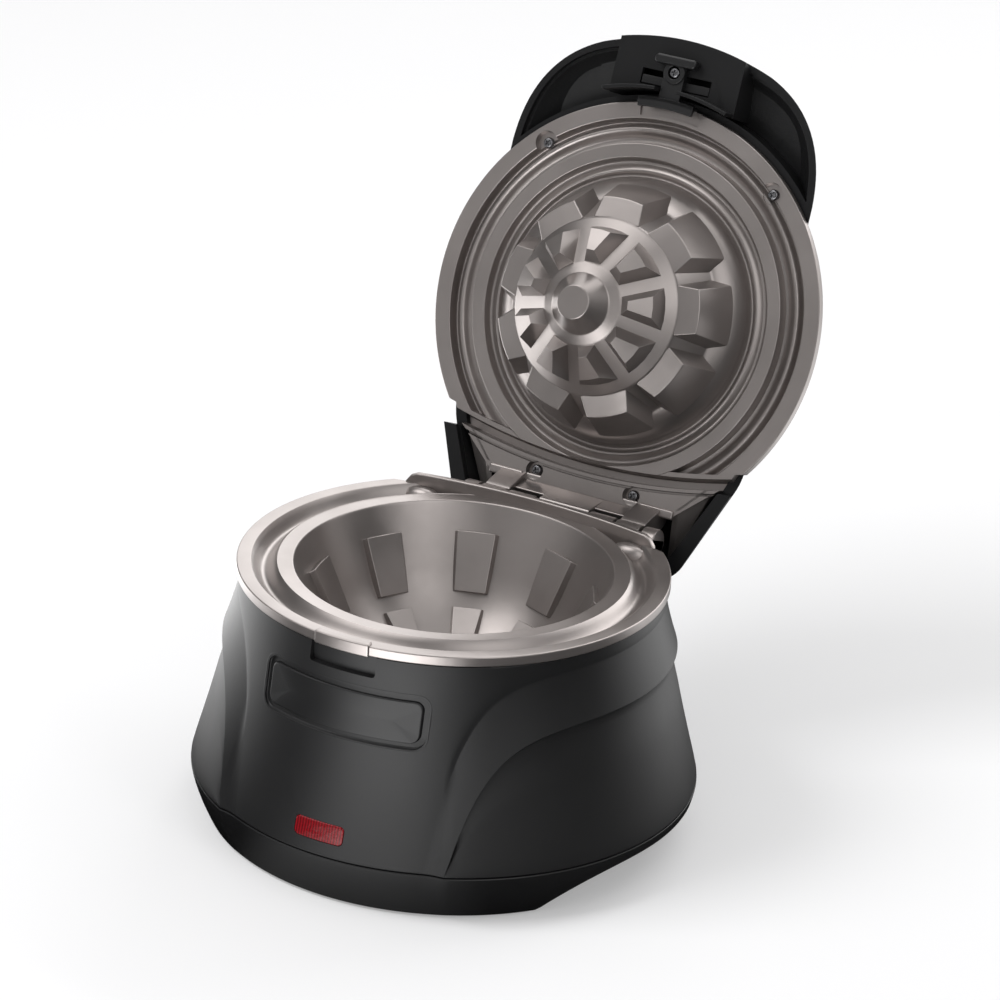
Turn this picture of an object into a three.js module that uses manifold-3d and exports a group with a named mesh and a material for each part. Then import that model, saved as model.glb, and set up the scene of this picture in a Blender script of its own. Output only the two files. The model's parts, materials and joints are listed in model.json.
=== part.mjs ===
// Waffle bowl maker: a round countertop cooker with a bowl-shaped lower plate, a domed upper plate,
// a hinged lid with a brim handle, and a sprung latch under the brim. Millimetres, +Z up.
// Every piece is drawn in the plate frame: Z = 0 is the top of the lower plate's rim, +Y is the rear.
// The lid is drawn closed, then its group turns it open about the hinge axis.
import * as THREE from 'three';
import { mergeVertices } from 'three/addons/utils/BufferGeometryUtils.js';
import { ConvexGeometry } from 'three/addons/geometries/ConvexGeometry.js';
import Module from 'manifold-3d';

const wasm = await Module();
wasm.setup();

// Fits shared by the whole assembly
const seatGap = 0.3;
const runGap = 0.4;
const overrun = 40;
const shortOverrun = 5;
const weldDistance = 1e-4;

// Stance and body
const skirtHeight = 21;
const floorRoom = 27;
const seamRadius = 102.4;
const footRadius = 94.6;
const neckRadius = 85;
const tongueFootRadius = 100.3;
const neckCurve = 1.4;
const bodyWall = 2.6;
const shoulderDrop = 30;
const shoulderRadius = 90.4;
const coveHeight = 20;
const flankCurve = 1.2;
const tongueAngle = 30;
const tongueFade = 8.5;
const coveAngle = 25;
const coveFade = 7.8;
const skirtLift = 1;
const hingeGapMargin = 1;
const archMargin = 0.6;
const archCentreAngle = 90;
const archHalfAngle = 37;
const archPower = 3.5;
const panelThick = 2.5;
const panelDrop = 1.5;
const ventSteps = [-2, -1, 0, 1, 2];

// Lower plate
const rimRadius = 86.5;
const rimThick = 4.1;
const rimBand = 5.9;
const moatWidth = 10.3;
const moatDepth = 5;
const cavityRadius = 63.5;
const cavityDepth = 60;
const cavityFloorRadius = 14;
const batterGap = 8;
const batterFloorGap = 10.5;
const castWall = 3.2;
const ringDrop = 0.5;
const locatingSkirtDepth = 14;
const chordY = 62.8;
const chordWall = 2.6;
const chordHalfWidth = 58;
const chordRise = 4.2;
const padCount = 9;
const padRise = 3;

// Latch tab and notch
const tabHalfWidth = 12.2;
const tabReach = 0.7;
const tabRise = 0.8;
const notchHalfWidth = 14.5;
const notchDepth = 9;

// Hinge
const hingeY = 89.2;
const hingeDrop = 12.7;
const openAngle = 112;
const knuckleRadius = 6.5;
const pinRadius = 2.5;
const knuckleGap = 1.2;
const innerKnuckleStart = 13;
const innerKnuckleWidth = 12;
const lidKnuckleWidth = 11.5;
const earWidth = 6.5;
const ledgeThick = 3;

// Upper plate
const upperRimRadius = 87.6;
const upperRimThick = 4.1;
const grooveDepth = 3.5;
const wellDepth = 2.2;
const frontScrewAngle = 40.8;
const hingeScrewX = 22.9;
const hingeScrewMargin = 4.8;
const flangeEndY = 78;
const flangeEndHalfWidth = 42.5;
const flangeCornerHalfWidth = 66;
const flangeFrontY = 57;
const flangeThick = 8.2;
const cheekThick = 3;
const cheekHeight = 8;
const cheekEndY = 88;
const cheekEndHalfWidth = 47;

// Lid cover
const coverRadius = 84.5;
const coverHeight = 42;
const coverWall = 2.5;
const handleHalfWidth = 70.1;
const handleRoom = 20.7;
const handleLift = 4;
const handleEdge = 8;
const handleLean = 13;
const handleRim = 3;
const brimDrop = 9;
const tailHalfWidth = 70.5;
const tailY = 56.4;
const tailEndHalfWidth = 51;
const tailEndY = 103;
const tailHang = 3;
const tailWall = 5.5;
const tailStartY = 63;
const tailLean = 10;
const leanPower = 1.3;

// Latch box, latch and spring
const boxHalfWidth = 29;
const boxHang = 2;
const boxWall = 1.6;
const boxProud = 0.8;
const shroudRadius = 92.2;
const shroudThick = 1.6;
const shroudHang = 10;
const latchTravel = 2.2;
const hookHalfWidth = 13;
const hookWall = 2;
const hookLedge = 2.4;
const hookThick = 2.2;
const stemHalfWidth = 4.8;
const stemThick = 2.6;
const gripHalfWidth = 9.5;
const gripDepth = 4;
const gripHang = 5;
const gripPlaceShare = 0.56;
const latchScrewShare = 1 / 3;
const carriageHalfWidth = 15.6;
const carriageDepth = 3.6;
const carriageThick = 3.4;
const springRadius = 1.6;
const springWire = 0.7;
const springTurns = 4;

// Screws
const screwRadius = 1.5;
const screwHeadRadius = 2.6;
const screwHeadHeight = 1.8;
const crossWidth = 0.7;
const crossDepth = 0.8;
const bossWall = 2.6;
const bossReach = 22;
const lugThick = 3;
const screwBite = 7;

// Front fittings
const plaqueHalfWidth = 36;
const plaqueHalfHeight = 10.2;
const plaqueDrop = 29.5;
const plaqueCorner = 5;
const plaqueDepth = 1.4;
const plaqueBorder = 2.2;
const lensHalfWidth = 11;
const lensHalfHeight = 3.9;
const lensDrop = 77.4;
const lensCorner = 2;
const lensProud = 0.3;
const lensFlange = 2.4;
const lampRadius = 2.8;
const lampLength = 16;

// Heating parts
const elementRadius = 3.2;
const elementLead = 12;
const shieldThick = 0.8;
const thermostatRadius = 8;
const thermostatHeight = 8;
const fuseRadius = 2.2;
const fuseLength = 16;
const terminalSize = [28, 16, 13];
const terminalY = 38;

// Rear gland and feet
const glandRadius = 8;
const glandNeck = 5.6;
const glandBore = 3.4;
const glandDrop = 77;
const glandFlange = 2;
const padRadius = 8;
const padThick = 2.6;
const padPitchRadius = 80;
const padAngle = 35;

// Facets
const roundSides = 36;
const boreSides = 8;
const headSides = 12;
const glandSides = 16;
const padSides = 20;
const roundSteps = 3;
const outlineSteps = 5;
const bodyColumns = 48;
const bodyRows = 10;
const tubeSides = 6;
const ringSides = 28;

const degree = Math.PI / 180;
const seamDrop = cavityDepth + floorRoom;
const standHeight = seamDrop + skirtHeight;
const archHeight = skirtHeight - skirtLift - panelDrop - panelThick - archMargin;
const shroudOuter = shroudRadius + shroudThick;
const handleReach = shroudOuter + handleRoom;
const gripY = shroudOuter + handleRoom * gripPlaceShare;
const latchScrewY = shroudOuter + handleRoom * latchScrewShare;
const seamZ = -seamDrop;
const tableZ = -standHeight;
const bodyTopZ = -rimThick - seatGap;
const hingeZ = -hingeDrop;

// Geometry helpers: three.js shapes become solids that can be joined and cut

function bareSolid(geometry) {
  const bare = new THREE.BufferGeometry();
  bare.setAttribute('position', geometry.getAttribute('position'));
  if (geometry.index) bare.setIndex(geometry.index);
  const merged = mergeVertices(bare, weldDistance);
  const points = merged.getAttribute('position').array;
  const corners = [];
  let volume = 0;
  const index = merged.index.array;
  for (let i = 0; i < index.length; i += 3) {
    const [a, b, c] = [index[i], index[i + 1], index[i + 2]];
    if (a === b || b === c || c === a) continue;
    corners.push(a, b, c);
    const [p, q, r] = [a, b, c].map((k) => new THREE.Vector3().fromArray(points, 3 * k));
    volume += p.dot(q.cross(r));
  }
  if (volume < 0) corners.reverse();
  const mesh = new wasm.Mesh({
    numProp: 3,
    vertProperties: new Float32Array(points),
    triVerts: new Uint32Array(corners),
  });
  return new wasm.Manifold(mesh);
}

function join(solids) {
  return solids.reduce((sum, next) => sum.add(next));
}

// A profile of [radius, height] points turned about Z
function turned(profile, sides = roundSides) {
  const points = profile.map(([r, z]) => new THREE.Vector2(r, z));
  const lathe = new THREE.LatheGeometry(points, sides);
  lathe.rotateX(Math.PI / 2);
  return bareSolid(lathe);
}

function closedProfile(profile) {
  return [...profile, profile[0]];
}

function disc(radius, low, high, sides = roundSides) {
  return turned([[0, low], [radius, low], [radius, high], [0, high]], sides);
}

function ring(inner, outer, low, high, sides = roundSides) {
  return turned(closedProfile([[inner, low], [outer, low], [outer, high], [inner, high]]), sides);
}

// An outline in plan, raised from one height to another
function plank(outline, low, high, curveSegments = 8) {
  const shape = outline instanceof THREE.Shape ? outline : polygon(outline);
  const body = new THREE.ExtrudeGeometry(shape, { depth: high - low, bevelEnabled: false, curveSegments });
  body.translate(0, 0, low);
  return bareSolid(body);
}

// An outline in the YZ plane, carried along X
function sidePlank(outline, left, right) {
  const body = new THREE.ExtrudeGeometry(polygon(outline), { depth: right - left, bevelEnabled: false });
  body.translate(0, 0, left);
  const basis = new THREE.Matrix4().makeBasis(
    new THREE.Vector3(0, 1, 0), new THREE.Vector3(0, 0, 1), new THREE.Vector3(1, 0, 0));
  body.applyMatrix4(basis);
  return bareSolid(body);
}

// An outline in the XZ plane, carried along -Y from the axis past the front of the body
function frontPlank(shape) {
  const depth = seamRadius + overrun;
  const body = new THREE.ExtrudeGeometry(shape, { depth, bevelEnabled: false, curveSegments: 4 });
  const basis = new THREE.Matrix4().makeBasis(
    new THREE.Vector3(1, 0, 0), new THREE.Vector3(0, 0, 1), new THREE.Vector3(0, -1, 0));
  body.applyMatrix4(basis);
  return bareSolid(body);
}

function polygon(outline) {
  return new THREE.Shape(outline.map(([x, y]) => new THREE.Vector2(x, y)));
}

function roundedRectangle(halfWidth, halfHeight, corner, centreY = 0) {
  const shape = new THREE.Shape();
  const [x, y, c] = [halfWidth, halfHeight, corner];
  shape.moveTo(-x + c, centreY - y);
  shape.lineTo(x - c, centreY - y);
  shape.absarc(x - c, centreY - y + c, c, -Math.PI / 2, 0);
  shape.lineTo(x, centreY + y - c);
  shape.absarc(x - c, centreY + y - c, c, 0, Math.PI / 2);
  shape.lineTo(-x + c, centreY + y);
  shape.absarc(-x + c, centreY + y - c, c, Math.PI / 2, Math.PI);
  shape.lineTo(-x, centreY - y + c);
  shape.absarc(-x + c, centreY - y + c, c, Math.PI, 1.5 * Math.PI);
  return shape;
}

function block(low, high) {
  const [x0, y0, z0] = low;
  const [x1, y1, z1] = high;
  const body = new THREE.BoxGeometry(x1 - x0, y1 - y0, z1 - z0);
  body.translate((x0 + x1) / 2, (y0 + y1) / 2, (z0 + z1) / 2);
  return bareSolid(body);
}

// A round bar between two points
function bar(radius, from, to, sides = boreSides) {
  const start = new THREE.Vector3(...from);
  const end = new THREE.Vector3(...to);
  const body = new THREE.CylinderGeometry(radius, radius, start.distanceTo(end), sides);
  const turn = new THREE.Quaternion().setFromUnitVectors(
    new THREE.Vector3(0, 1, 0), end.clone().sub(start).normalize());
  body.applyQuaternion(turn);
  const middle = start.add(end).multiplyScalar(0.5);
  body.translate(middle.x, middle.y, middle.z);
  return bareSolid(body);
}

function hull(points) {
  return bareSolid(new ConvexGeometry(points.map(([x, y, z]) => new THREE.Vector3(x, y, z))));
}

function polar(radius, angle, z) {
  return [radius * Math.cos(angle), radius * Math.sin(angle), z];
}

// A place on the body at a bearing in degrees from the front, measured either way
function bearing(radius, angle, side = 1) {
  return [side * radius * Math.sin(angle * degree), -radius * Math.cos(angle * degree)];
}

function both(make) {
  return make(1).add(make(-1));
}

// Body surface: a plain neck that runs down the front as a tongue to the seam, and a flared flank on
// each side whose shoulder sweeps up from the seam beside the tongue and on round the back

function neckAt(z) {
  const share = Math.max(0, -z / seamDrop);
  return neckRadius + (tongueFootRadius - neckRadius) * share ** neckCurve;
}

function flankAt(z) {
  const share = Math.max(0, (-z - shoulderDrop) / (seamDrop - shoulderDrop));
  return shoulderRadius + (seamRadius - shoulderRadius) * share ** flankCurve;
}

function crestAt(angle) {
  return -shoulderDrop - (seamDrop - shoulderDrop) * Math.exp((tongueAngle - angle) / tongueFade);
}

function coveTopAt(angle) {
  const topDrop = shoulderDrop - coveHeight;
  return -topDrop - (seamDrop - topDrop) * Math.exp((coveAngle - angle) / coveFade);
}

function bodyRadius(angle, z) {
  const crest = crestAt(angle);
  const coveTop = coveTopAt(angle);
  if (z >= coveTop) return neckAt(z);
  if (z <= crest) return flankAt(z);
  const fall = (coveTop - z) / (coveTop - crest);
  const proud = flankAt(crest) - neckAt(crest);
  return Math.min(neckAt(z) + proud * fall ** 2, Math.max(flankAt(z), neckAt(z)));
}

// Loops of as many [x, y, z] points each, stacked into one solid with a fan over each end
function stack(loops) {
  const count = loops[0].length;
  const rows = loops.length - 1;
  const points = loops.flat(2);
  const faces = [];
  const at = (row, column) => row * count + (column % count);
  for (let row = 0; row < rows; row += 1) {
    for (let column = 0; column < count; column += 1) {
      const next = column + 1;
      faces.push(at(row, column), at(row, next), at(row + 1, next));
      faces.push(at(row, column), at(row + 1, next), at(row + 1, column));
    }
  }
  for (const row of [0, rows]) {
    const centre = points.length / 3;
    const sum = loops[row].reduce(([x, y], point) => [x + point[0] / count, y + point[1] / count], [0, 0]);
    points.push(...sum, loops[row][0][2]);
    for (let column = 0; column < count; column += 1) {
      const pair = [at(row, column), at(row, column + 1)];
      if (row === 0) pair.reverse();
      faces.push(centre, ...pair);
    }
  }
  const body = new THREE.BufferGeometry();
  body.setAttribute('position', new THREE.Float32BufferAttribute(points, 3));
  body.setIndex(faces);
  return bareSolid(body);
}

// The body surface as loops: each point is placed by its bearing and its share of the height
function loft(rows, pointAt) {
  const loops = [];
  for (let row = 0; row <= rows; row += 1) {
    const loop = [];
    for (let column = 0; column < bodyColumns; column += 1) {
      const turn = (360 * column) / bodyColumns;
      const [radius, z] = pointAt(turn > 180 ? 360 - turn : turn, row / rows);
      loop.push([...bearing(radius, turn), z]);
    }
    loops.push(loop);
  }
  return stack(loops);
}

function bodyCore(inset, topZ, bottomZ, rows = bodyRows) {
  return loft(rows, (angle, share) => {
    const z = topZ + (bottomZ - topZ) * share;
    return [bodyRadius(angle, z) - inset, z];
  });
}

function skirtBottomAt(angle) {
  const away = Math.min(1, Math.abs(angle - archCentreAngle) / archHalfAngle);
  return tableZ + skirtLift + archHeight * (1 - away ** archPower);
}

function skirtCore(inset, topZ, extra) {
  return loft(bodyRows / 2, (angle, share) => {
    const bottomZ = skirtBottomAt(angle) - extra;
    const z = topZ + (bottomZ - topZ) * share;
    const level = Math.min(1, Math.max(0, (seamZ - z) / (seamZ - tableZ)));
    const top = bodyRadius(angle, seamZ);
    return [top + (footRadius - top) * level ** neckCurve - inset, z];
  });
}

// Places shared by the pieces of the base
const panelTop = seamZ - panelDrop;
const panelBottom = panelTop - panelThick;
const coverScrewRadius = seamRadius - bodyWall - 2 * (screwRadius + bossWall);
const coverScrewBearings = [[45, 1], [45, -1], [135, 1], [135, -1]];
const bossRadius = screwRadius + bossWall;
const lugRadius = neckRadius - bodyWall - 2 * bossWall - bossRadius;
const lugBearings = [[45, 1], [45, -1], [135, 1], [135, -1]];
const postBottom = -rimThick - locatingSkirtDepth - bossRadius;
const shieldTop = postBottom - seatGap;
const lugTop = shieldTop - shieldThick - seatGap;
const ledgeTop = hingeZ - bossRadius;
const ledgeBottom = ledgeTop - ledgeThick;
const lidKnuckleStart = innerKnuckleStart + innerKnuckleWidth + knuckleGap;
const earStart = lidKnuckleStart + lidKnuckleWidth + knuckleGap;
const earEnd = earStart + earWidth;

function pilot(x, y, low, high) {
  return bar(screwRadius + seatGap, [x, y, low], [x, y, high]);
}

// Base housing: moulded shell with the latch notch, plaque recess, lens window, hinge gap, cord hole,
// bosses for the bottom cover and lugs that carry the lower plate
function baseHousing() {
  const skin = bodyCore(0, bodyTopZ, seamZ + seatGap);
  const hollow = bodyCore(bodyWall, bodyTopZ + shortOverrun, seamZ - shortOverrun, bodyRows / 2);
  const inside = bodyCore(bodyWall / 2, bodyTopZ, seamZ + seatGap, bodyRows / 2);
  const fittings = [];
  const holes = [];
  for (const [angle, side] of coverScrewBearings) {
    const [x, y] = bearing(coverScrewRadius, angle, side);
    const top = seamZ + bossReach;
    fittings.push(bar(bossRadius, [x, y, seamZ + seatGap], [x, y, top]));
    const [u, v] = bearing(seamRadius, angle, side);
    const rib = bodyWall / 2;
    fittings.push(hull([
      ...squareEnd(rib, x, y, seamZ + seatGap), ...squareEnd(rib, u, v, seamZ + seatGap),
      ...squareEnd(rib, x, y, top), ...squareEnd(rib, u, v, top)]));
    holes.push(pilot(x, y, seamZ - overrun, top - bossWall));
  }
  for (const [angle, side] of lugBearings) {
    const [x, y] = bearing(lugRadius, angle, side);
    const [u, v] = bearing(neckRadius + coveHeight, angle, side);
    fittings.push(hull([
      ...squareEnd(bossRadius, x, y, lugTop), ...squareEnd(bossRadius, u, v, lugTop),
      ...squareEnd(bossRadius, x, y, lugTop - lugThick), ...squareEnd(bossRadius, u, v, lugTop - lugThick)]));
    holes.push(pilot(x, y, lugTop - overrun, lugTop + shortOverrun));
  }
  const latchNotch = block(
    [-notchHalfWidth, -neckRadius - overrun, -rimThick - notchDepth],
    [notchHalfWidth, -chordY, overrun]);
  const hingeGap = block(
    [-earEnd - hingeGapMargin, chordY - chordWall, ledgeBottom - seatGap],
    [earEnd + hingeGapMargin, seamRadius + overrun, overrun]);
  const plaqueOutline = roundedRectangle(plaqueHalfWidth, plaqueHalfHeight, plaqueCorner, -plaqueDrop);
  const plaqueRecess = frontPlank(plaqueOutline).subtract(bodyCore(plaqueDepth, bodyTopZ, seamZ));
  const lensHole = roundedRectangle(lensHalfWidth, lensHalfHeight, lensCorner, -lensDrop);
  const cordHole = bar(glandNeck + seatGap,
    [0, 0, -glandDrop], [0, seamRadius + overrun, -glandDrop], glandSides);
  return skin.subtract(hollow)
    .add(join(fittings).intersect(inside))
    .subtract(join([...holes, latchNotch, hingeGap, plaqueRecess, frontPlank(lensHole), cordHole]));
}

// The corners of a square about a point, used for the ends of a rib or a lug
function squareEnd(half, x, y, z) {
  return [[x - half, y - half, z], [x + half, y + half, z], [x - half, y + half, z], [x + half, y - half, z]];
}

// Bottom cover: a panel inside a tapered skirt with an arch on each side, and a post for each foot
function bottomCover() {
  const topZ = seamZ - seatGap / 2;
  const skirt = skirtCore(0, topZ, 0).subtract(skirtCore(bodyWall, topZ + shortOverrun, overrun));
  const panel = skirtCore(bodyWall / 2, panelTop, 0)
    .intersect(disc(seamRadius, panelBottom, panelTop));
  const posts = footPlaces().map(([x, y]) => bar(padRadius, [x, y, tableZ + padThick + seatGap],
    [x, y, panelTop - panelThick / 2]));
  const holes = coverScrewBearings.map(([angle, side]) => {
    const [x, y] = bearing(coverScrewRadius, angle, side);
    return pilot(x, y, panelBottom - shortOverrun, panelTop + shortOverrun);
  });
  const ventPitch = 3 * bodyWall;
  const ventReach = ventPitch * ventSteps.length / 2;
  const vents = ventSteps.map((step) => block(
    [-ventReach, step * ventPitch - bodyWall / 2, panelBottom - shortOverrun],
    [ventReach, step * ventPitch + bodyWall / 2, panelTop + shortOverrun]));
  return join([skirt, panel, ...posts]).subtract(join([...holes, ...vents]));
}

function footPlaces() {
  const places = [];
  for (const angle of [padAngle, 180 - padAngle]) {
    for (const side of [-1, 1]) places.push(bearing(padPitchRadius, angle, side));
  }
  return places;
}

// The cavity and the dome share one pattern: two rows of raised pads, nine to a row, in line
const moatInner = rimRadius - rimBand - moatWidth;
const cavityShares = [[0.42, 0.92], [0.74, 0.6], [0.95, 0.13]];
const [cavityLow, cavityMiddle, cavityHigh] = cavityShares.map(
  ([across, deep]) => [cavityRadius * across, -cavityDepth * deep]);
const cavityProfile = [
  [0, -cavityDepth],
  [cavityFloorRadius, -cavityDepth],
  cavityLow,
  cavityMiddle,
  cavityHigh,
  [cavityRadius, -ringDrop - castWall / 4],
];

function moat(centre, level, depth) {
  const half = moatWidth / 2;
  const moatShares = [[-1, 0], [-0.6, 0.75], [0, 1], [0.6, 0.75], [1, 0]];
  return moatShares.map(([across, deep]) => [centre + across * half, level - deep * depth]);
}

// Lower plate: the bowl casting with its moat, rim, chord wall, locating skirt and fixed hinge knuckles
function lowerPlate() {
  const moatCentre = moatInner + moatWidth / 2;
  const skirtOuter = neckRadius - bodyWall - runGap;
  const skirtInner = skirtOuter - castWall;
  const skirtBottom = -rimThick - locatingSkirtDepth;
  const moatUnder = -moatDepth - castWall;
  const face = [
    ...cavityProfile,
    [cavityRadius + castWall / 4, -ringDrop],
    ...moat(moatCentre, 0, moatDepth).map(([r, z], i) => (i === 0 ? [r, -ringDrop] : [r, z])),
    [rimRadius, 0],
  ];
  const under = [
    [rimRadius, -rimThick],
    [skirtOuter, -rimThick],
    [skirtOuter, skirtBottom],
    [skirtInner, skirtBottom],
    [skirtInner, moatUnder],
    [cavityRadius + castWall, moatUnder],
    [cavityHigh[0] + castWall, moatUnder - castWall],
    [cavityMiddle[0] + castWall, cavityMiddle[1] - castWall * 0.75],
    [cavityLow[0] + castWall * 0.7, cavityLow[1] - castWall],
    [cavityFloorRadius, -cavityDepth - castWall],
    [0, -cavityDepth - castWall],
  ];
  const front = block([-rimRadius * 2, -rimRadius * 2, -standHeight], [rimRadius * 2, chordY, standHeight]);
  const bowl = turned([...face, ...under]).intersect(front);
  const pads = cavityPads();
  const posts = lugBearings.map(([angle, side]) => {
    const [x, y] = bearing(lugRadius, angle, side);
    return bar(bossRadius, [x, y, postBottom], [x, y, moatUnder + castWall / 2]);
  });
  const crest = chordHalfWidth - castWall;
  const fence = frontPlank(polygon([[-chordHalfWidth, -rimThick], [chordHalfWidth, -rimThick],
    [chordHalfWidth, 0], [crest, chordRise], [-crest, chordRise], [-chordHalfWidth, 0]]))
    .mirror([0, 1, 0])
    .intersect(block([-rimRadius, chordY, -rimThick], [rimRadius, chordY + chordWall, chordRise]));
  const panel = block([-rimRadius, chordY, ledgeBottom], [rimRadius, chordY + chordWall, -rimThick / 2])
    .intersect(disc(skirtOuter, ledgeBottom, -rimThick / 2));
  const wall = fence.add(panel).intersect(disc(rimRadius, ledgeBottom, chordRise));
  const tab = block(
    [-tabHalfWidth, -rimRadius - tabReach, -rimThick - tabRise / 2],
    [tabHalfWidth, -rimRadius + castWall, tabRise]).intersect(
    disc(rimRadius + tabReach, -rimThick - tabRise / 2, tabRise));
  const holes = lugBearings.map(([angle, side]) => {
    const [x, y] = bearing(lugRadius, angle, side);
    return pilot(x, y, postBottom - shortOverrun, moatUnder - castWall / 2);
  });
  return join([bowl, pads, ...posts, wall, tab, hingeSaddle(skirtOuter)]).subtract(join(holes));
}

function cavityPads() {
  const pads = [];
  const half = Math.PI / padCount / 2;
  const outerShares = [[0.93, 0.2], [0.76, 0.57]];
  const innerShares = [[0.7, 0.66], [0.45, 0.88]];
  for (let i = 0; i < padCount; i += 1) {
    const middle = -Math.PI / 2 + (2 * Math.PI * i) / padCount;
    for (const row of [outerShares, innerShares]) {
      const corners = [];
      for (const [radiusShare, depthShare] of row) {
        for (const side of [-1, 1]) {
          const angle = middle + side * half;
          const r = cavityRadius * radiusShare;
          const z = -cavityDepth * depthShare;
          corners.push(polar(r - padRise * 0.85, middle + side * half * 0.8, z + padRise * 0.5));
          corners.push(polar(r + castWall / 2, angle, z - castWall / 3));
        }
      }
      pads.push(hull(corners));
    }
  }
  return join(pads);
}

// Fixed side of the hinge: a ledge behind the chord wall with two inner knuckles and two end ears
function hingeSaddle(skirtOuter) {
  const shelf = block([-rimRadius, chordY, ledgeBottom], [rimRadius, hingeY, ledgeTop])
    .intersect(disc(skirtOuter, ledgeBottom, ledgeTop));
  const tongueEnd = hingeY - knuckleRadius / 2;
  const tongue = block([-earEnd, chordY, ledgeBottom], [earEnd, tongueEnd, ledgeTop]);
  const knuckle = (start, width) => (side) => {
    const [left, right] = side > 0 ? [start, start + width] : [-start - width, -start];
    const foot = sidePlank([
      [chordY + chordWall, ledgeBottom],
      [hingeY + knuckleRadius * 0.6, ledgeBottom],
      [hingeY + knuckleRadius, hingeZ],
      [hingeY - knuckleRadius * 0.7, hingeZ + knuckleRadius * 0.7],
      [chordY + chordWall, ledgeTop],
    ], left, right);
    return foot.add(bar(knuckleRadius, [left, hingeY, hingeZ], [right, hingeY, hingeZ], ringSides / 2));
  };
  const clearance = (side) => {
    const near = side * (lidKnuckleStart - knuckleGap);
    const far = side * (lidKnuckleStart + lidKnuckleWidth + knuckleGap);
    return bar(knuckleRadius + knuckleGap, [near, hingeY, hingeZ], [far, hingeY, hingeZ], ringSides / 2);
  };
  const bore = bar(pinRadius + runGap, [-rimRadius, hingeY, hingeZ], [rimRadius, hingeY, hingeZ]);
  return join([
    shelf.add(tongue).subtract(both(clearance)),
    both(knuckle(innerKnuckleStart, innerKnuckleWidth)),
    both(knuckle(earStart, earWidth)),
  ]).subtract(bore);
}

function hingePin(side) {
  const near = side * (innerKnuckleStart - knuckleGap / 2);
  const far = side * (earEnd - knuckleGap / 2);
  return bar(pinRadius, [near, hingeY, hingeZ], [far, hingeY, hingeZ]);
}

// Front fittings, each following the curve of the body
function namePlaque() {
  const outline = roundedRectangle(plaqueHalfWidth - plaqueBorder, plaqueHalfHeight - plaqueBorder,
    plaqueCorner - plaqueBorder / 2, -plaqueDrop);
  const skin = bodyCore(seatGap, bodyTopZ, seamZ)
    .subtract(bodyCore(plaqueDepth - seatGap, overrun, -standHeight));
  return frontPlank(outline).intersect(skin);
}

function lensSkin(outer, inner) {
  const top = -lensDrop + lensHalfHeight * 3;
  const bottom = Math.max(-lensDrop - lensHalfHeight * 3, seamZ);
  return bodyCore(outer, top, bottom, 4).subtract(bodyCore(inner, top + overrun, bottom - overrun, 4));
}

function indicatorLens() {
  const stem = roundedRectangle(lensHalfWidth - seatGap, lensHalfHeight - seatGap, lensCorner, -lensDrop);
  const flange = roundedRectangle(
    lensHalfWidth + lensFlange, lensHalfHeight + lensFlange, lensCorner, -lensDrop);
  const back = bodyWall + lensFlange;
  return frontPlank(stem).intersect(lensSkin(-lensProud, back))
    .add(frontPlank(flange).intersect(lensSkin(bodyWall + runGap, back)));
}

const lampY = -(neckAt(-lensDrop) - bodyWall - lensFlange - 2 * lensProud - lampRadius - lensHalfHeight / 2);

function neonLamp() {
  return bar(lampRadius, [-lampLength / 2, lampY, -lensDrop], [lampLength / 2, lampY, -lensDrop], 12);
}

// Lamp holder: a block on the bottom panel with a half-round bed for the lamp
function lampHolder() {
  const half = lampLength / 2 - bodyWall;
  const body = block([-half, lampY, panelTop + seatGap],
    [half, lampY + 2 * lampRadius + bodyWall, -lensDrop + lampRadius]);
  const bed = bar(lampRadius + seatGap, [-lampLength, lampY, -lensDrop], [lampLength, lampY, -lensDrop], 12);
  return body.subtract(bed);
}

// Tubular heating ring with two straight terminals
function heatingRing(ringRadius, z, leadEnd, leadSide) {
  const torus = bareSolid(new THREE.TorusGeometry(ringRadius, elementRadius, tubeSides, ringSides));
  const leads = [-1, 1].map((side) => {
    const angle = leadSide + (side * elementLead) / ringRadius;
    const [x, y] = polar(ringRadius, angle, z);
    return bar(elementRadius * 0.6, [x, y, z], [x, y, leadEnd], tubeSides);
  });
  return torus.translate([0, 0, z]).add(join(leads));
}

const lowerRing = (() => {
  const high = [cavityHigh[0] + castWall, -moatDepth - 2 * castWall];
  const low = [cavityMiddle[0] + castWall, cavityMiddle[1] - castWall * 0.75];
  const slope = new THREE.Vector2(high[0] - low[0], high[1] - low[1]).normalize();
  const share = 0.25;
  const away = elementRadius + seatGap;
  return {
    radius: low[0] + (high[0] - low[0]) * share + slope.y * away,
    z: low[1] + (high[1] - low[1]) * share - slope.x * away,
  };
})();

// A line of [radius, height] points moved sideways by the same distance all along
function offsetLine(line, distance) {
  const points = line.map(([r, z]) => new THREE.Vector2(r, z));
  const sides = points.slice(1).map((point, i) => {
    const along = point.clone().sub(points[i]).normalize();
    return new THREE.Vector2(-along.y, along.x);
  });
  return points.map((point, i) => {
    const before = sides[Math.max(i - 1, 0)];
    const after = sides[Math.min(i, sides.length - 1)];
    const middle = before.clone().add(after).multiplyScalar(distance / (1 + before.dot(after)));
    return point.add(middle).toArray();
  });
}

function lowerShield() {
  const floorZ = -cavityDepth - castWall - thermostatHeight * 0.75;
  const outer = lugRadius + bossRadius;
  const top = lugRadius - bossRadius - castWall;
  const profile = [
    [outer, shieldTop],
    [top, shieldTop],
    [lowerRing.radius + 3 * elementRadius, lowerRing.z - 2 * elementRadius],
    [cavityRadius * 0.6, floorZ],
    [thermostatRadius * 1.5, floorZ],
  ];
  const back = offsetLine(profile, shieldThick).reverse();
  const holes = lugBearings.map(([angle, side]) => {
    const [x, y] = bearing(lugRadius, angle, side);
    return pilot(x, y, shieldTop - shortOverrun, shieldTop + shortOverrun);
  });
  return turned(closedProfile([...profile, ...back]), ringSides).subtract(join(holes));
}

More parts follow.
